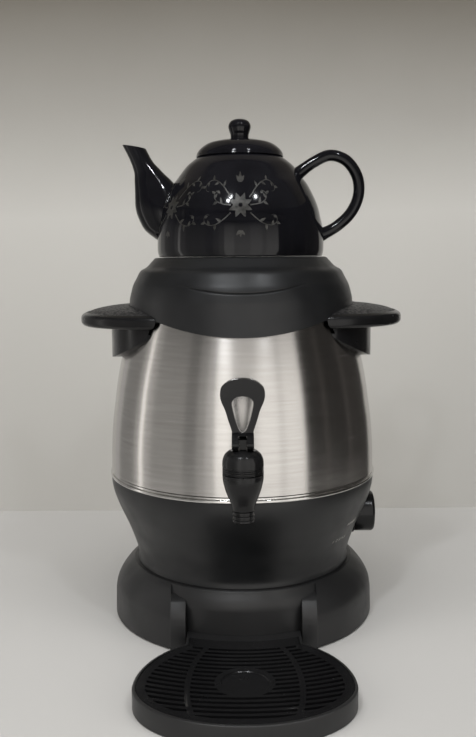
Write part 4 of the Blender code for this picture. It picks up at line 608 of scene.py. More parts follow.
def housing():
    floor, half_wall = HOUSING_LOW + WALL, WALL / 2
    inner = inward(HOUSING, WALL, floor, 2 * HOUSING_TOP)
    profile = HOUSING + inner[::-1] + [(inner[0][0], floor), (HOUSING_HOLE, floor), (HOUSING_HOLE, HOUSING_LOW)]
    made = turned("lower_housing_shell", profile, SATIN)
    inlet_low, inlet_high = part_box("power_inlet")
    wide, tall = inlet_high.x, (inlet_high.z - inlet_low.z) / 2
    middle = (inlet_low.z + inlet_high.z) / 2
    front, back = inlet_high.y - INLET_STEP - GAP, HOUSING_FOOT - 2 * WALL
    at = Vector((0, AXIS.y, KNOB.z))
    boss = block("inlet_boss", (2 * wide + WALL, front - back - AXIS.y, 2 * tall + WALL),
                 (0, (front + back + AXIS.y) / 2, middle))
    bottom, top = HOUSING_LOW + half_wall, HOUSING_TOP - half_wall
    skin = inward(HOUSING, half_wall, bottom, top)
    inside = turned("housing_inside", [(0, bottom), (skin[0][0], bottom)] + skin + [(skin[-1][0], top), (0, top)])

    def sideways(name, radius, first, last, steps):
        return bar(name, radius, at + Vector((first, 0, 0)), at + Vector((last, 0, 0)), steps)

    join(made, keep(sideways("knob_boss", DIAL_RADIUS + WALL, back, TANK_RADIUS, FINE_STEPS), inside), boss)
    lamp = Vector((cos(LAMP_ANGLE), sin(LAMP_ANGLE)))
    lamp_ends = [AXIS + Vector((reach * lamp.x, reach * lamp.y, LAMP_HEIGHT)) for reach in LAMP_REACH]
    cut(made, sideways("knob_pocket", DIAL_RADIUS + GAP, KNOB_BACK - DIAL_THICK - 2 * GAP, BOSS_REACH, FINE_STEPS),
        sideways("spindle_hole", SPINDLE_HOLE, back - PAST, BOSS_REACH, TINY_STEPS),
        block("inlet_pocket", (2 * wide + 2 * GAP, 0.04, 2 * tall + 2 * GAP), (0, front + 0.02, middle)),
        block("inlet_window", INLET_WINDOW, (0, front, middle)),
        bar("lamp_hole", LAMP_HOLE, *lamp_ends, TINY_STEPS), sharp=32)
    settle(made, ROOT, "lower_housing")


# ---------------------------------------------------------------- tank, ring, collar and lid
def tank():
    bottom, top = TANK_LOW + TANK_WALL, TANK_TOP - TANK_WALL
    inner = inward(TANK, TANK_WALL, bottom + TANK_WALL, top)
    outer = [(0, TANK_LOW), (TANK_RADIUS - TANK_LIP, TANK_LOW), (TANK_RADIUS, TANK_LOW + EDGE)] + TANK[1:]
    profile = outer + [(TANK_MOUTH, TANK_TOP), (TANK_MOUTH, top), (inner[-1][0], top)] + inner[::-1]
    profile += [(inner[0][0] - TANK_FOOT, bottom), (0, bottom)]
    turned("steel_tank_shell", profile, "brushed_steel", ROOT, "steel_tank", STEEL_STEPS)


def ring():
    bead, inner, neck = RING_LOW + RING_BEAD, RING_RADIUS - RING_WIDTH, TANK_RADIUS - TANK_WALL
    outline = rounded([(inner, RING_LOW), (RING_RADIUS, RING_LOW), (RING_RADIUS, bead), (neck, bead),
                       (neck, RING_TOP), (inner, RING_TOP), (inner, RING_LOW)], RING_SOFT)
    turned("trim_ring_bead", outline, "polished_steel", ROOT, "trim_ring", STEEL_STEPS)


def arch(cosine, start, half, radius):
    """The height where an upward arc across the front meets the collar, at one angle round it."""
    height = start
    for _ in range(6):
        x = min(half, abs(radius_at(COLLAR, height) * cosine))
        height = start + radius - sqrt(radius ** 2 - x ** 2)
    return height


def collar():
    """A skin whose lower edge is the visor's arc, with a pressed line that smiles across the front."""
    steps, rows_below, rows_above, rows_under = 288, 22, 34, 12
    top = COLLAR[-1][1]
    rim, seat = LID_RADIUS + GAP, COLLAR_TOP - SEAT_DEPTH
    closing = [(COLLAR_TOP_RADIUS - BROW_WIDE, COLLAR_TOP - BROW_DROP), (COLLAR_TOP_RADIUS - BROW, COLLAR_TOP),
               (rim + SEAT_EDGE, COLLAR_TOP), (rim, COLLAR_TOP - SEAT_EDGE), (rim, seat), (SEAT_RADIUS, seat),
               (SEAT_RADIUS, seat - SEAT_THICK)]
    shape = bmesh.new()
    columns = []
    for k in range(steps):
        turn = 2 * pi * k / steps
        cx, cy = cos(turn), sin(turn)
        edge = arch(cx, COLLAR_LOW, EDGE_HALF, EDGE_ARC)
        crease = arch(cx, COLLAR_LOW + CREASE_RISE, CREASE_HALF, CREASE_ARC)
        x = abs(radius_at(COLLAR, crease) * cx)
        depth = CREASE_DEPTH * max(0.0, 1 - (x / CREASE_HALF) ** 6) if cy < 0 and x < CREASE_HALF else 0.0
        first, last = crease + GROOVE[0], crease + GROOVE[-1]
        line = [(edge + (first - edge) * i / rows_below, 0.0) for i in range(rows_below)]
        line += [(crease + g, depth * exp(-(g / CREASE_WIDTH) ** 2)) for g in GROOVE]
        line += [(last + (top - last) * i / rows_above, 0.0) for i in range(1, rows_above + 1)]
        line = [(radius_at(COLLAR, z) - sink, z) for z, sink in line]
        under, start = [], seat - SEAT_THICK
        for i in range(rows_under + 1):
            z = start + (edge + EDGE - start) * i / rows_under
            tank_radius = radius_at(TANK, z) + GAP if z < TANK_TOP else 0
            under.append((max(tank_radius, radius_at(COLLAR, z) - SKIN), z))
        low_edge = [(under[-1][0] + 0.0002, edge), (line[0][0] - 0.0006, edge - 0.0001)]
        columns.append([shape.verts.new((r * cx, AXIS.y + r * cy, z)) for r, z in line + closing + under + low_edge])
    for a, b in zip(columns, columns[1:] + columns[:1]):
        for i in range(len(a)):
            j = (i + 1) % len(a)
            shape.faces.new((a[i], b[i], b[j], a[j]))
    piece("top_collar_shell", shape, SATIN, ROOT, "top_collar", 42)


LID_SKIN, LID_DISH, LID_RIM, LID_SLOPE, LID_GASKET, LID_SOFT = 0.0020, 0.0100, 0.0100, 0.0050, 0.0014, 0.0012
LID_KNOB, LID_KNOB_TOP, LID_KNOB_SIDE, LID_KNOB_NECK = 0.0100, 0.0010, (0.0012, 0.0024), 0.0042
VENTS, VENT_RADIUS, VENT_CIRCLE, VENT_FIRST, VENT_PAST = 8, 0.0026, 0.033, radians(5), 0.005


def lid():
    top, under = high("tank_lid").z, low("lid_gasket").z + LID_GASKET + GAP
    dish, slope, tip = top - LID_DISH, LID_RADIUS - LID_RIM, top - LID_KNOB_TOP
    outline = [(0, tip), (LID_KNOB * 0.75, tip)] + [(LID_KNOB, tip - drop) for drop in LID_KNOB_SIDE]
    outline += [(LID_KNOB / 2, tip - LID_KNOB_NECK), (LID_KNOB / 2, dish), (slope - LID_SLOPE, dish), (slope, top),
                (LID_RADIUS, top), (LID_RADIUS, under), (slope + 0.0010, under), (slope - 0.0040, dish - LID_SKIN),
                (0, dish - LID_SKIN)]
    made = turned("tank_lid_shell", rounded(outline, LID_SOFT), SATIN, steps=BROAD_STEPS)
    holes = []
    for i in range(VENTS):
        turn = VENT_FIRST + 2 * pi * i / VENTS
        at = AXIS + Vector((VENT_CIRCLE * cos(turn), VENT_CIRCLE * sin(turn), 0))
        holes.append(bar("vent", VENT_RADIUS, at + up(dish - VENT_PAST), at + up(top),
                         TINY_STEPS))
    cut(made, *holes)
    settle(made, "lid", "tank_lid")


# ---------------------------------------------------------------- grips
GRIP_CENTRE = 0.0600
GRIP_REACH = high("right_handle").x - GRIP_CENTRE
GRIP_SPAN = 0.0700
GRIP_LOW = COLLAR_LOW + 0.0037
GRIP_EDGE, GRIP_CROWN, GRIP_SOFT, GRIP_STEPS = 0.0095, 0.0085, 0.0022, 144
GRIP_BOTTOM_EDGE, GRIP_TOP_EDGE, GRIP_LIP, GRIP_SEAT = 0.0024, 0.0020, 0.0012, 0.0050
CROWN_POWER = 4
INLAY_SUNK, INLAY_THICK, INLAY_EDGE = 0.0014, 0.0011, 0.0004
CORBEL_REACH, CORBEL_SPAN = 0.1115, 0.0680
CORBEL_DROP = GRIP_LOW - low("right_handle").z


def envelope():
    """The room that the tank and the collar take, with the clearance round them."""
    inside = inward(TANK, -GAP, 0, COLLAR_LOW - 0.001)
    skirt = inward(COLLAR, -GAP, 0, 2 * COLLAR_TOP)
    profile = [(0, TANK_LOW)] + inside + [(radius_at(TANK, COLLAR_LOW) + GAP, COLLAR_LOW - GAP),
                                          (skirt[0][0], COLLAR_LOW - GAP)] + skirt + [(0, COLLAR_TOP)]
    return turned("envelope", profile, steps=BROAD_STEPS)


def grips():
    edge, seat = GRIP_LOW + GRIP_EDGE, GRIP_REACH - GRIP_SEAT

    def crown(r, sink=0.0):
        return edge + GRIP_CROWN * (1 - (r / GRIP_REACH) ** CROWN_POWER) - sink

    shares = [i / 12 for i in range(13)]
    sunk = [(s * seat, crown(s * seat, INLAY_SUNK)) for s in shares]
    rim = rounded([(0, GRIP_LOW), (GRIP_REACH - GRIP_BOTTOM_EDGE, GRIP_LOW),
                   (GRIP_REACH, GRIP_LOW + GRIP_BOTTOM_EDGE), (GRIP_REACH, edge - GRIP_TOP_EDGE),
                   (GRIP_REACH - GRIP_LIP, edge), (seat, crown(seat)), sunk[-1]], GRIP_SOFT)
    pad = seat - GAP
    top = [(s * pad, crown(s * pad) - (INLAY_EDGE if s == 1 else 0)) for s in shares]
    insert = top + [(s * pad, crown(s * pad, INLAY_THICK)) for s in shares[::-1]]
    squash = Matrix.Diagonal((1, GRIP_SPAN / GRIP_REACH, 1, 1))
    half = CORBEL_REACH - GRIP_CENTRE
    for side, label in ((-1, "left"), (1, "right")):
        at = AXIS + Vector((side * GRIP_CENTRE, 0, 0))
        shaped = {"at": at, "turn": squash, "steps": GRIP_STEPS}
        wing = turned(label + "_grip", rim + sunk[::-1][1:], GLOSS, **shaped)
        corbel = prism("corbel", oval(half, CORBEL_SPAN, 96), GRIP_LOW - CORBEL_DROP, GRIP_LOW + 0.003, at=at)
        bowl = prism("bowl", oval(CORBEL_DROP, CORBEL_SPAN, 96), -half - PAST, half + PAST,
                     at=at + up(GRIP_LOW), turn=Matrix.Rotation(pi / 2, 4, "Y"))
        join(wing, keep(corbel, bowl))
        cut(wing, envelope())
        settle(wing, ROOT, label + "_handle")
        inlay = turned(label + "_grip_inlay", insert, INLAY, **shaped)
        cut(inlay, envelope())
        settle(inlay, ROOT, label + "_handle_inlay")


# ---------------------------------------------------------------- control knob
SPINDLE_DEPTH, DIAL_SOFT = 0.013, 0.0003
KNOB_CROWN, KNOB_SHOULDER, KNOB_SIDE, KNOB_SOFT = 0.0004, 0.0012, 0.0028, 0.0009
MARK_SUNK, MARK_PROUD, MARK_WIDE, MARK_MIDDLE, MARK_LONG = 0.0005, 0.0006, 0.0014, 0.62, 0.42


def control():
    at = Vector((KNOB_BACK, AXIS.y, KNOB.z))
    sideways = {"turn": Matrix.Rotation(pi / 2, 4, "Y"), "steps": FINE_STEPS}
    length = high("control_knob").x - KNOB_BACK
    outline = [(0, length), (KNOB_RADIUS * 2 / 3, length - KNOB_CROWN),
               (KNOB_RADIUS - KNOB_SHOULDER, length - KNOB_SHOULDER), (KNOB_RADIUS, length - KNOB_SIDE),
               (KNOB_RADIUS, 0), (SPINDLE_HOLE, 0), (SPINDLE_HOLE, SPINDLE_DEPTH), (0, SPINDLE_DEPTH)]
    turned("control_knob_cap", rounded(outline, KNOB_SOFT), GLOSS, "knob", "control_knob", at=at, **sideways)
    mark = block("control_knob_mark", (MARK_PROUD, MARK_WIDE, KNOB_RADIUS * MARK_LONG),
                 at + Vector((length - MARK_SUNK, 0, KNOB_RADIUS * MARK_MIDDLE)), MARK)
    settle(mark, "knob")
    dial = [(SPINDLE_HOLE, -DIAL_THICK), (DIAL_RADIUS, -DIAL_THICK), (DIAL_RADIUS, 0), (SPINDLE_HOLE, 0),
            (SPINDLE_HOLE, -DIAL_THICK)]
    turned("dial_ring_disc", rounded(dial, DIAL_SOFT), SATIN, ROOT, "dial_ring", at=at - Vector((GAP, 0, 0)),
           **sideways)


# ---------------------------------------------------------------- tap
TAP_BODY_SHARES = [(1.0, 0.0), (0.985, 0.17), (0.93, 0.32), (0.865, 0.459), (0.775, 0.594), (0.68, 0.728),
                   (0.585, 0.871), (0.54, 1.0)]
BONNET_SHARES = [(1.0, 0.34), (0.985, 0.56), (0.90, 0.77), (0.80, 0.88), (0.66, 0.975)]
LEVER_SHARES = [(0.475, 0.138), (0.475, 0.17), (0.64, 0.351), (0.77, 0.507), (0.93, 0.64), (0.985, 0.74),
                (0.95, 0.84), (0.80, 0.905), (0.60, 0.955), (0.33, 0.988), (0.0, 1.0)]
LEVER_HOLE_SHARES = [(0.0, 0.0), (0.30, 0.06), (0.67, 0.33), (0.90, 0.60), (1.0, 0.76), (0.92, 0.88),
                     (0.55, 0.97), (0.0, 1.0)]
TAP_SPAN = 5
TAP_BODY_DEPTH, NOZZLE_DEPTH = 0.0267, 0.0090
NOZZLE_RADIUS, NOZZLE_BORE, CHAMBER, THROAT, THROAT_RISE = 0.0080, 0.0056, 0.0095, 0.0042, (0.0054, 0.0075)
SHANK_RADIUS, SHANK_BORE, SHANK_DROP = 0.0062, 0.0040, 0.0110
FLANGE_RADIUS, FLANGE_THICK, FLANGE_GASKET = 0.0115, 0.0030, 0.0020
RIDGE_SHARE, RIDGE_COUNT, RIDGE_DEEP = 0.34, 3, 0.0005
BONNET_MOUTH, STEM_HOLE, BONNET_BORE, BONNET_ROOF = 0.0085, 0.0027, 0.0075, 0.0050
BONNET_TOP = high("tap_bonnet").z
SHANK_HEIGHT = SEAM - SHANK_DROP
LEVER_HEIGHT, LEVER_HALF, LEVER_THICK, LEVER_SOFT, LEVER_SWING = 0.0450, 0.0160, 0.0075, 0.0019, radians(60)
HOLE_HALF, HOLE_LOW, HOLE_TOP = 0.0076, 0.0066, 0.0327
FOOT_HALF, FOOT_TOP, FOOT_SOFT, FOOT_LIFT = 0.0078, 0.0065, 0.0004, 0.0040
EYE_SLOT, EYE_TOP, PIN_HOLE, PIN_REACH = 0.0060, 0.0046, 0.0018, 0.02


def tap_shell():
    base = SEAM - TAP_BODY_DEPTH
    end, rib = base - NOZZLE_DEPTH, NOZZLE_DEPTH / 6
    outer = curve(TAP_BODY_SHARES, SEAM, base, 0, TAP_RADIUS, TAP_SPAN)
    nozzle = []
    for i in range(3):
        start = base - rib / 2 - 2 * rib * i
        nozzle += [(NOZZLE_RADIUS - EDGE, start + rib / 4), (NOZZLE_RADIUS, start), (NOZZLE_RADIUS, start - rib),
                   (NOZZLE_RADIUS - EDGE, start - 1.25 * rib)]
    line = [(CHAMBER, SEAM), (TAP_RADIUS - EDGE, SEAM), (TAP_RADIUS, SEAM - EDGE)] + outer[1:] + nozzle
    line += [(NOZZLE_RADIUS - EDGE, end + 0.0004), (NOZZLE_RADIUS - 0.0010, end), (NOZZLE_BORE, end),
             (NOZZLE_BORE, base)] + [(THROAT, base + rise) for rise in THROAT_RISE] + [(CHAMBER, base + THROAT_RISE[1])]
    made = turned("tap_body_shell", line, GLOSS, at=TAP, steps=FINE_STEPS)
    back = Vector((0, high("tap_body").y, SHANK_HEIGHT))
    wall = AXIS.y - (radius_at(TANK, SHANK_HEIGHT) + FLANGE_GASKET + 2 * GAP)
    flange = bar("flange", FLANGE_RADIUS, Vector((0, wall - FLANGE_THICK, SHANK_HEIGHT)),
                 Vector((0, wall, SHANK_HEIGHT)))
    soften(flange, EDGE)
    join(made, bar("shank", SHANK_RADIUS, TAP + Vector((0, (CHAMBER + TAP_RADIUS) / 2, SHANK_HEIGHT)), back), flange)
    cut(made, bar("bore", SHANK_BORE, TAP + up(SHANK_HEIGHT), back + Vector((0, PAST, 0)), TINY_STEPS),
        sharp=38)
    settle(made, ROOT, "tap_body")


def bonnet_shell():
    bottom, tail, inside = SEAM + GAP, low("tap_bonnet").z, CHAMBER - GAP
    tall, ceiling, valley = BONNET_TOP - bottom, BONNET_TOP - BONNET_ROOF, TAP_RADIUS - RIDGE_DEEP
    pitch = tall * RIDGE_SHARE / (RIDGE_COUNT + 1)
    line = [(valley, bottom), (TAP_RADIUS, bottom + GAP)]
    for i in range(RIDGE_COUNT):
        start = bottom + pitch * (i + 0.5)
        line += [(TAP_RADIUS, start), (valley, start + pitch / 4), (valley, start + pitch * 3 / 4),
                 (TAP_RADIUS, start + pitch)]
    line += curve(BONNET_SHARES, bottom, BONNET_TOP, 0, TAP_RADIUS, TAP_SPAN)
    line += [(BONNET_MOUTH, BONNET_TOP), (STEM_HOLE, BONNET_TOP), (STEM_HOLE, ceiling), (BONNET_BORE, ceiling),
             (BONNET_BORE, tail), (inside, tail), (inside, bottom)]
    turned("tap_bonnet_shell", line, GLOSS, ROOT, "tap_bonnet", FINE_STEPS, TAP)


def cam_outline():
    """The lever's foot from the side: it rides on the bonnet and lifts the pin as the lever tips."""
    support, rate = PIN_HEIGHT - BONNET_TOP - GAP, FOOT_LIFT / LEVER_SWING
    half = LEVER_THICK / 2
    line = []
    for i in range(25):
        turn = LEVER_SWING * i / 24
        reach = support + rate * turn
        line.append((-reach * sin(turn) - rate * cos(turn),
                     -reach * cos(turn) + rate * sin(turn)))
    return [(half, -support)] + line + [(line[-1][0], 0), (-half, FOOT_TOP), (half, FOOT_TOP)]


def lever():
    upright, at = Matrix.Rotation(pi / 2, 4, "X"), TAP + up(PIN_HEIGHT)
    half = LEVER_THICK / 2
    right = curve(LEVER_SHARES, 0, LEVER_HEIGHT, 0, LEVER_HALF, TAP_SPAN)
    made = prism("tap_lever_loop", right + [(-x, y) for x, y in right[::-1][1:]], -half, half, GLOSS, at, upright)
    inner = curve(LEVER_HOLE_SHARES, HOLE_LOW, HOLE_TOP, 0, HOLE_HALF, TAP_SPAN)
    inner += [(-x, y) for x, y in inner[::-1][1:-1]]
    cut(made, prism("loop_hole", inner, -half - PAST, half + PAST, None, at, upright))
    soften(made, LEVER_SOFT, 4, 50)
    shape = prism_shape(cam_outline(), -FOOT_HALF, FOOT_HALF)
    shape.transform(Matrix.Translation(at) @ Matrix(((0, 0, 1, 0), (1, 0, 0, 0), (0, 1, 0, 0), (0, 0, 0, 1))))
    foot = piece("foot", shape)
    soften(foot, FOOT_SOFT, 2, 50)
    join(made, foot)
    across = Vector((PIN_REACH, 0, 0))
    cut(made, block("slot", (EYE_SLOT, 0.03, EYE_TOP + TAP_RADIUS), at + up((EYE_TOP - TAP_RADIUS) / 2)),
        bar("pin_hole", PIN_HOLE, at - across, at + across, TINY_STEPS))
    settle(made, "lever", "tap_lever")


# ---------------------------------------------------------------- teapot
POT_SHARES = [(0.985, 0.0), (1.0, 0.06), (1.0, 0.17), (0.987, 0.305), (0.963, 0.395), (0.937, 0.49), (0.887, 0.60),
              (0.814, 0.72), (0.754, 0.79), (0.647, 0.91), (0.575, 0.965), (0.52, 1.0)]
POT_LID_SHARES = [(1.0, 0.0), (0.968, 0.27), (0.875, 0.53), (0.71, 0.77), (0.43, 0.93)]
POT_KNOB_SHARES = [(0.80, 0.0), (0.82, 0.20), (0.93, 0.40), (1.0, 0.58), (0.95, 0.75), (0.75, 0.90), (0.40, 0.98),
                   (0.0, 1.0)]
SPOUT_SHARES = [(0.12, 0.68, 0.40, 0.80), (0.24, 0.825, 0.42, 0.95), (0.33, 0.888, 0.44, 1.0),
                (0.49, 0.938, 0.48, 1.0), (0.67, 0.942, 0.54, 0.80), (0.78, 0.943, 0.61, 0.66),
                (0.87, 0.945, 0.69, 0.57), (0.985, 0.98, 0.775, 0.50), (1.125, 1.045, 0.835, 0.50)]
POT_HANDLE_SHARES = [(0.63, 0.79), (0.714, 0.855), (0.886, 0.958), (1.076, 1.025), (1.257, 0.981), (1.379, 0.861),
                     (1.429, 0.717), (1.407, 0.562), (1.314, 0.418), (1.157, 0.298), (1.0, 0.226), (0.914, 0.196)]
POT_TOP = POT_LOW + POT_HEIGHT
POT_LINE = curve(POT_SHARES, POT_LOW, POT_TOP, 0, POT_RADIUS)
POT_FOOT_RISE, POT_FOOT_WIDTH, POT_FOOT_SLOPE, POT_FOOT_SOFT, POT_FLOOR_SOFT = 0.0030, 0.0060, 0.0030, 0.0012, 0.004
SPOUT_REACH, SPOUT_ROOT, SPOUT_TIP, SPOUT_WALL, SPOUT_COUNT = 0.0950, 0.0170, 0.0085, 0.0021, 40
POT_BAR, BAR_FLARE, BAR_ENDS, BAR_COUNT = 0.0048, 0.6, 14, 24
COVER_RADIUS, COVER_RISE, COVER_EDGE, COVER_HOLLOW, COVER_NECK = 0.0372, 0.0158, 0.0008, 0.0072, 0.0084
COVER_KNOB = 0.0095


def spout(name, shrink, beyond):
    """The spout's outside or, shrunk and reaching beyond its mouth, its bore."""
    rows = smooth_path([(h, far, near) for h, far, near, _ in SPOUT_SHARES], 5)
    halves = smooth_path([(h, half, 0) for h, _, _, half in SPOUT_SHARES], 5)
    rings = []
    for i, (row, wide) in enumerate(zip(rows, halves)):
        z = POT_LOW + POT_HEIGHT * row[0] + (beyond if i == len(rows) - 1 else 0)
        outer, inner = SPOUT_REACH * row[1] - shrink, SPOUT_REACH * row[2] + shrink
        middle, reach = (outer + inner) / 2, (outer - inner) / 2
        half = SPOUT_ROOT * wide[1] - shrink
        tilt = SPOUT_TIP * max(0.0, i / (len(rows) - 1) - 0.8)
        rings.append([(-middle - reach * cos(a), AXIS.y + half * sin(a), z + tilt * cos(a))
                      for a in (2 * pi * k / SPOUT_COUNT for k in range(SPOUT_COUNT))])
    return loft(name, rings)


def pot_handle():
    """A round bar along its path in the plane of X and Z, which spreads where it joins the pot."""
    points = smooth_path([(POT_RADIUS * x, AXIS.y, POT_LOW + POT_HEIGHT * z) for x, z in POT_HANDLE_SHARES], 7)
    last, side = len(points) - 1, Vector((0, 1, 0))
    rings = []
    for i, p in enumerate(points):
        along = (points[min(i + 1, last)] - points[max(i - 1, 0)]).normalized()
        outward = side.cross(along)
        r = POT_BAR * (1 + BAR_FLARE * max(0, 1 - min(i, last - i) / BAR_ENDS) ** 2)
        rings.append([p + (side * cos(a) + outward * sin(a)) * r
                      for a in (2 * pi * k / BAR_COUNT for k in range(BAR_COUNT))])
    return loft("pot_handle", rings)


def teapot():
    foot, inner_foot = POT_LOW + POT_FOOT_RISE, POT_RADIUS - POT_FOOT_WIDTH
    line = rounded([(0, foot), (inner_foot - POT_FOOT_SLOPE, foot), (inner_foot, POT_LOW), (POT_LINE[0][0], POT_LOW),
                    POT_LINE[1]], POT_FOOT_SOFT)[:-1]
    made = turned("teapot_vessel", line + POT_LINE[1:] + [(0, POT_TOP)], GLAZE, sharp=ROUND_SHARP)
    join(made, pot_handle(), spout("pot_spout", 0, 0))
    floor, ceiling = foot + POT_WALL, POT_TOP - POT_WALL
    inner = inward(POT_LINE, POT_WALL, floor + POT_FLOOR_SOFT, ceiling)
    hollow = [(0, floor), (inner[0][0] - POT_FLOOR_SOFT, floor)] + inner
    hollow += [(POT_MOUTH, ceiling), (POT_MOUTH, POT_TOP + PAST), (0, POT_TOP + PAST)]
    cut(made, turned("pot_hollow", hollow, steps=BROAD_STEPS), spout("spout_bore", SPOUT_WALL, PAST),
        sharp=ROUND_SHARP)
    settle(made, "teapot", "teapot_body")

    bottom = POT_TOP + GAP
    crown = bottom + COVER_RISE
    dome = curve(POT_LID_SHARES, bottom, crown, 0, COVER_RADIUS)
    stalk = curve(POT_KNOB_SHARES, crown, high("teapot_lid").z, 0, COVER_KNOB)
    stalk[-1] = (0, stalk[-1][1])
    plug, tail = POT_MOUTH - 2 * GAP, bottom - 2 * POT_WALL
    line = [(0, bottom + COVER_HOLLOW), (plug - POT_WALL, bottom + GAP), (plug - POT_WALL, tail), (plug, tail),
            (plug, bottom), (dome[0][0] - COVER_EDGE, bottom), (dome[0][0], bottom + COVER_EDGE)]
    line += [p for p in dome[1:] if p[1] > bottom + COVER_EDGE + 0.0001] + [(COVER_NECK, crown - 0.0004)] + stalk
    turned("teapot_cover_shell", line, GLAZE, "teapot_cover", "teapot_lid", BROAD_STEPS, sharp=ROUND_SHARP)


# ---------------------------------------------------------------- printed ornament and marks
PRINT_PROUD, PRINT_RISE, PRINT_TURNS = 0.00007, 0.004, (0, -57, 180, 237)
ROSETTE = 0.036
# Petal rings: first turn, start, length, width. Tendrils: height, turn, length, curl. Buds: height, turn, lean, size
PETALS = ((pi / 8, 0.0016, 0.0088, 0.0043), (pi / 4, 0.0014, 0.0052, 0.0016))
TENDRILS = ((0.042, 0.9, 0.052, -5.2), (0.030, -0.75, 0.046, 5.6), (0.036, 0.1, 0.036, 6.0))
TENDRIL_SIDE, TENDRIL_WIDE, TENDRIL_STEPS = 0.0080, 0.0011, 36
LEAVES = ((8, 1), (13, -1), (18, 1), (23, -1), (28, 1))
BUDS = ((0.0540, pi / 2, 0, 0.0090, 0.0032), (0.0540, pi / 2, -0.6, 0.0070, 0.0032),
        (0.0540, pi / 2, 0.6, 0.0070, 0.0032), (0.0165, -pi / 2, 0, 0.0055, 0.0024),
        (0.0165, -pi / 2, -0.7, 0.0055, 0.0024), (0.0165, -pi / 2, 0.7, 0.0055, 0.0024))


def leaf(u, v, turn, length, wide, bend=0.0):
    """Three rails along a petal or leaf: its two edges and its midrib."""
    c, s = cos(turn), sin(turn)
    rails = []
    for side in (1, 0, -1):
        shares = [i / 8 for i in range(9)]
        points = [(length * t, side * wide / 2 * sin(pi * t ** 0.75) + bend * length * t * t)
                  for t in shares]
        rails.append([(u + x * c - y * s, v + x * s + y * c) for x, y in points])
    return rails


def scroll(u, v, turn, length, curl):
    """Three rails along a tendril that curls up tighter towards its end, and its points for leaves."""
    line = [(u, v, turn)]
    for i in range(TENDRIL_STEPS):
        x, y, a = line[-1]
        share = i / TENDRIL_STEPS
        step = length / TENDRIL_STEPS * (1 - 0.5 * share)
        a += curl * share ** 1.4 * 2 / TENDRIL_STEPS
        line.append((x + step * cos(a), y + step * sin(a), a))
    rails = []
    for side in (1, 0, -1):
        widths = [side * TENDRIL_WIDE / 2 * (1 - 0.75 * i / TENDRIL_STEPS) for i in range(len(line))]
        rails.append([(x - w * sin(a), y + w * cos(a)) for w, (x, y, a) in zip(widths, line)])
    return rails, line


def spray():
    """A rosette between tendrils with leaves, a bud above and a small one below."""
    rails = []
    for i in range(8):
        for first, start, length, wide in PETALS:
            turn = first + i * pi / 4
            rails.append(leaf(start * cos(turn), start * sin(turn) + ROSETTE, turn, length, wide))
    for side in (1, -1):
        for v, turn, length, curl in TENDRILS:
            made, line = scroll(side * TENDRIL_SIDE, v, turn if side == 1 else pi - turn, length, side * curl)
            rails.append(made)
            for share, flip in LEAVES:
                x, y, a = line[share]
                rails.append(leaf(x, y, a + flip * side * 0.8, 0.0062 - share * 0.0001, 0.0023, 0.25 * flip * side))
    return rails + [leaf(0, v, turn + lean, length, wide) for v, turn, lean, length, wide in BUDS]


def on_pot(u, v, middle):
    z = POT_LOW + min(POT_HEIGHT * 0.95, max(PRINT_RISE, v + PRINT_RISE))
    a, r = radians(middle) + u / POT_RADIUS, radius_at(POT_LINE, z) + PRINT_PROUD
    return r * sin(a), AXIS.y - r * cos(a), z


def ornament():
    shape = bmesh.new()
    for middle in PRINT_TURNS:
        for rails in spray():
            rows = [[shape.verts.new(on_pot(u, v, middle)) for u, v in rail] for rail in rails]
            for one, two in zip(rows, rows[1:]):
                for i in range(len(one) - 1):
                    shape.faces.new((one[i], two[i], two[i + 1], one[i + 1]))
    bmesh.ops.remove_doubles(shape, verts=shape.verts, dist=0.00002)
    piece("pot_ornament", shape, PRINT, "teapot")


STROKES, STROKE_FIRST, STROKE_PITCH, STROKE_WIDE, STROKE_LOW = 9, -0.0585, 0.0015, 0.0006, 0.0887
NUMBERS, NUMBER_SIZE, NUMBER_FIRST, NUMBER_PITCH, NUMBER_LOW = 5, 0.0034, -0.0675, 0.0036, 0.0764


def on_housing(y, z):
    r = radius_at(HOUSING, z) + 0.00008
    return sqrt(r * r - y * y), AXIS.y + y, z


def marks():
    """A row of strokes and a row of numbers beside the control knob."""
    shape = bmesh.new()
    for i in range(STROKES):
        y, top = STROKE_FIRST + STROKE_PITCH * i, STROKE_LOW + 2 * (0.0009 + 0.00008 * i)
        corners = ((y, STROKE_LOW), (y + STROKE_WIDE, STROKE_LOW), (y + STROKE_WIDE, top), (y, top))
        shape.faces.new([shape.verts.new(on_housing(*c)) for c in corners])
    for i in range(NUMBERS):
        words = bpy.data.curves.new("number", "FONT")
        words.body, words.size = str(i + 1), NUMBER_SIZE
        made = new_object("number", words)
        bpy.context.view_layer.update()
        mesh = bpy.data.meshes.new_from_object(made)
        for v in mesh.vertices:
            v.co = on_housing(NUMBER_FIRST + NUMBER_PITCH * i + v.co.x, NUMBER_LOW + v.co.y)
        shape.from_mesh(mesh)
        bpy.data.objects.remove(made)
        bpy.data.meshes.remove(mesh)
    piece("dial_marks", shape, MARK, ROOT)


# ---------------------------------------------------------------- floor, light and camera
# The wall's second colour is painted shade: the wall darkens to it between the heights WALL_PALE and WALL_DARK.
FLOOR_HALF, WALL_BEHIND, WALL_PALE, WALL_DARK = 1.6, 0.288, 0.36, 0.62
PAPER, WALL_LOW, WALL_PAINTED_SHADE = (0.48, 0.475, 0.465), (0.51, 0.50, 0.475), (0.098, 0.086, 0.066)
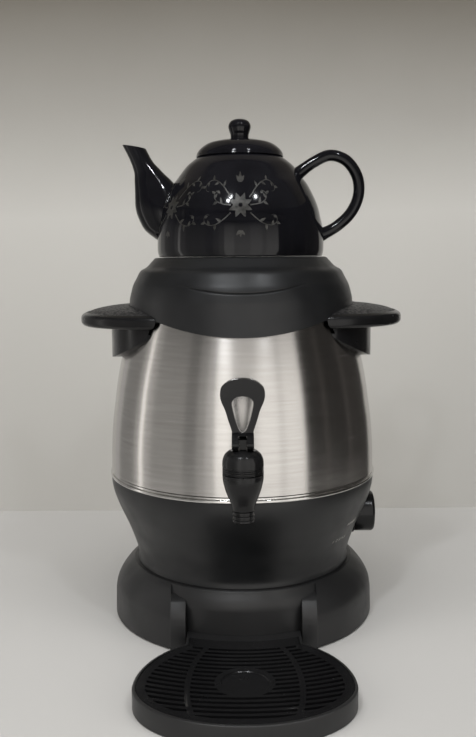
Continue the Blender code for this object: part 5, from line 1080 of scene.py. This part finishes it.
# What the steel mirrors, as upright cards round the object: two angles in degrees from the front, and a level
CARDS = [(-140, -118, 0.42), (-118, -94, 0.24), (-94, -87, 0.42), (-87, -83, 1.7), (-83, -74, 0.45),
         (-74, -44, 0.32), (-44, -34, 0.22), (-34, -27, 0.38), (-27, -20, 0.60), (-20, -8, 1.35), (-8, 12, 1.0),
         (12, 27, 1.2), (27, 32, 0.95), (32, 48, 1.15), (48, 66, 0.02), (66, 69, 0.07), (69, 92, 0.02),
         (92, 95, 0.07), (95, 128, 0.03)]
CARD_REACH, CARD_HEIGHT, CARD_FADE = 0.42, 0.52, 0.30
WARM, SOFT_WHITE, COOL = (1.0, 0.90, 0.82), (1.0, 0.97, 0.93), (0.94, 0.97, 1.0)
# Lamps: name, size, place from the axis, height aimed at, watts, colour, whether polished surfaces show it
LAMPS = (("ceiling", (1.6, 1.2), (0.0, -0.5, 1.5), 0.2, 20, (1.0, 0.98, 0.95), False),
         ("left", (0.5, 1.4), (-1.3, -0.8, 0.6), 0.2, 9, SOFT_WHITE, False),
         ("right", (0.5, 1.4), (1.3, -0.9, 0.6), 0.2, 7, (1.0, 0.98, 0.95), False),
         ("spot_left", (0.045, 0.06), (-0.24, -0.79, 1.22), 0.36, 1.8, COOL, True),
         ("spot_left_low", (0.045, 0.06), (-0.30, -0.82, 1.12), 0.36, 1.8, COOL, True),
         ("spot_right", (0.045, 0.06), (0.38, -0.74, 1.20), 0.36, 1.8, COOL, True))
ROOM, ROOM_STRENGTH, HORIZON, ABOVE = (0.50, 0.49, 0.47), 0.15, (0.50, 0.49, 0.465), (0.07, 0.067, 0.062)
FOCAL, PITCH, ROLL, CAMERA_AT = 870.0, 7.43, -0.48, (-0.003, -0.754, 0.311)
PICTURE_HEIGHT, SENSOR = 737, 36


def stage():
    shape = bmesh.new()
    bmesh.ops.create_grid(shape, x_segments=1, y_segments=1, size=FLOOR_HALF)
    floor = new_object("floor", mesh_of("floor", shape))
    wall = new_object("backdrop", floor.data.copy())
    wall.rotation_euler = (pi / 2, 0, 0)
    wall.location = (0, AXIS.y + WALL_BEHIND, FLOOR_HALF)
    for item, colour, top in ((floor, PAPER, PAPER), (wall, WALL_LOW, WALL_PAINTED_SHADE)):
        item.data.materials.append(backdrop_material(item.name, colour, top))


def backdrop_material(name, colour, top):
    """Pale matt paper, darkened above the object by painted shade where the light falls off, and open from behind."""
    made, tree, shader = shader_of(name, colour, 0.6)
    place = node(tree, "NewGeometry").outputs
    cloud = spread(tree, noise(tree, place["Position"], 6.0), -0.012, 0.012)
    tall = maths(tree, "ADD", height_of(tree, place["Position"]), cloud)
    # Painted shade: the colour darkens towards the top colour with height. On the floor both colours are the same.
    ramp = ramp_of(tree, spread(tree, tall, 0.0, 1.0, WALL_PALE, WALL_DARK), colour, top)
    ramp.color_ramp.elements.new(0.45).color = (*(Vector(colour) + Vector(top)) / 2, 1)
    tree.links.new(ramp.outputs["Color"], shader.inputs["Base Color"])
    behind = node(tree, "BsdfTransparent").outputs["BSDF"]
    mix(tree, place["Backfacing"], shader.outputs["BSDF"], behind, tree.nodes["Material Output"])
    return made


def mix(tree, share, first, second, output):
    made = node(tree, "MixShader", {0: share, 1: first, 2: second})
    tree.links.new(made.outputs["Shader"], output.inputs["Surface"])


def cards():
    """Only mirror-like rays meet the cards, so they light nothing and hide nothing."""
    for first, last, level in CARDS:
        shape = bmesh.new()
        columns = []
        count = max(1, round((last - first) / 4))
        for i in range(count + 1):
            a = radians(first + (last - first) * i / count)
            x, y = CARD_REACH * sin(a), AXIS.y - CARD_REACH * cos(a)
            columns.append([shape.verts.new((x, y, z)) for z in (0.001, CARD_HEIGHT)])
        for one, two in zip(columns, columns[1:]):
            shape.faces.new((one[0], two[0], two[1], one[1]))
        made = new_object("card", mesh_of("card", shape))
        finish, tree, shader = shader_of("card", (0.01, 0.01, 0.01), 1.0,
                                         Emission_Color=(*(WARM if level < 0.2 else SOFT_WHITE), 1))
        fade = spread(tree, height_of(tree, place_of(tree)), level, 0.0, CARD_FADE, CARD_HEIGHT,
                      interpolation_type="SMOOTHSTEP")
        tree.links.new(fade, shader.inputs["Emission Strength"])
        made.data.materials.append(finish)
        made.visible_camera = made.visible_diffuse = made.visible_shadow = made.visible_transmission = False


def room():
    """A dim even light on the object, and a pale horizon to look at and to mirror."""
    world = bpy.data.worlds.new("room")
    world.use_nodes = True
    tree = world.node_tree
    back = tree.nodes["Background"]
    back.inputs["Color"].default_value = (*ROOM, 1)
    back.inputs["Strength"].default_value = ROOM_STRENGTH
    rise = height_of(tree, node(tree, "TexCoord").outputs["Generated"])
    ramp = ramp_of(tree, spread(tree, rise, 0.0, 1.0, 0.12, 0.45), HORIZON, ABOVE)
    seen = node(tree, "Background", {"Color": ramp.outputs["Color"], "Strength": 1.0})
    ray = node(tree, "LightPath").outputs
    either = maths(tree, "ADD", ray["Is Camera Ray"], ray["Is Glossy Ray"])
    either = maths(tree, "ADD", either, ray["Is Transmission Ray"], use_clamp=True)
    mix(tree, either, back.outputs["Background"], seen.outputs["Background"], tree.nodes["World Output"])
    bpy.context.scene.world = world


def lights():
    for name, size, at, aim, watts, colour, mirrored in LAMPS:
        lamp = bpy.data.lights.new(name, "AREA")
        lamp.shape, lamp.energy, lamp.color = "RECTANGLE", watts, colour
        lamp.size, lamp.size_y = size
        made = new_object(name, lamp)
        made.location = AXIS + Vector(at)
        made.rotation_euler = (up(aim) - Vector(at)).to_track_quat("-Z", "Y").to_euler()
        made.visible_glossy = mirrored


def camera():
    made = new_object("camera", bpy.data.cameras.new("camera"))
    made.data.sensor_fit = "VERTICAL"
    made.data.sensor_height = made.data.sensor_width = SENSOR
    made.data.lens = FOCAL / PICTURE_HEIGHT * SENSOR
    made.location = AXIS + Vector(CAMERA_AT)
    aim = Matrix.Rotation(radians(90 - PITCH), 4, "X") @ Matrix.Rotation(radians(ROLL), 4, "Z")
    made.rotation_euler = aim.to_euler()
    bpy.context.scene.camera = made


for make in (pedestal, tray, housing, tank, ring, collar, lid, grips, control, tap_shell, bonnet_shell, lever, teapot,
             ornament, marks, stage, cards, room, lights, camera):
    make()

bpy.context.scene.view_settings.view_transform = "Standard"
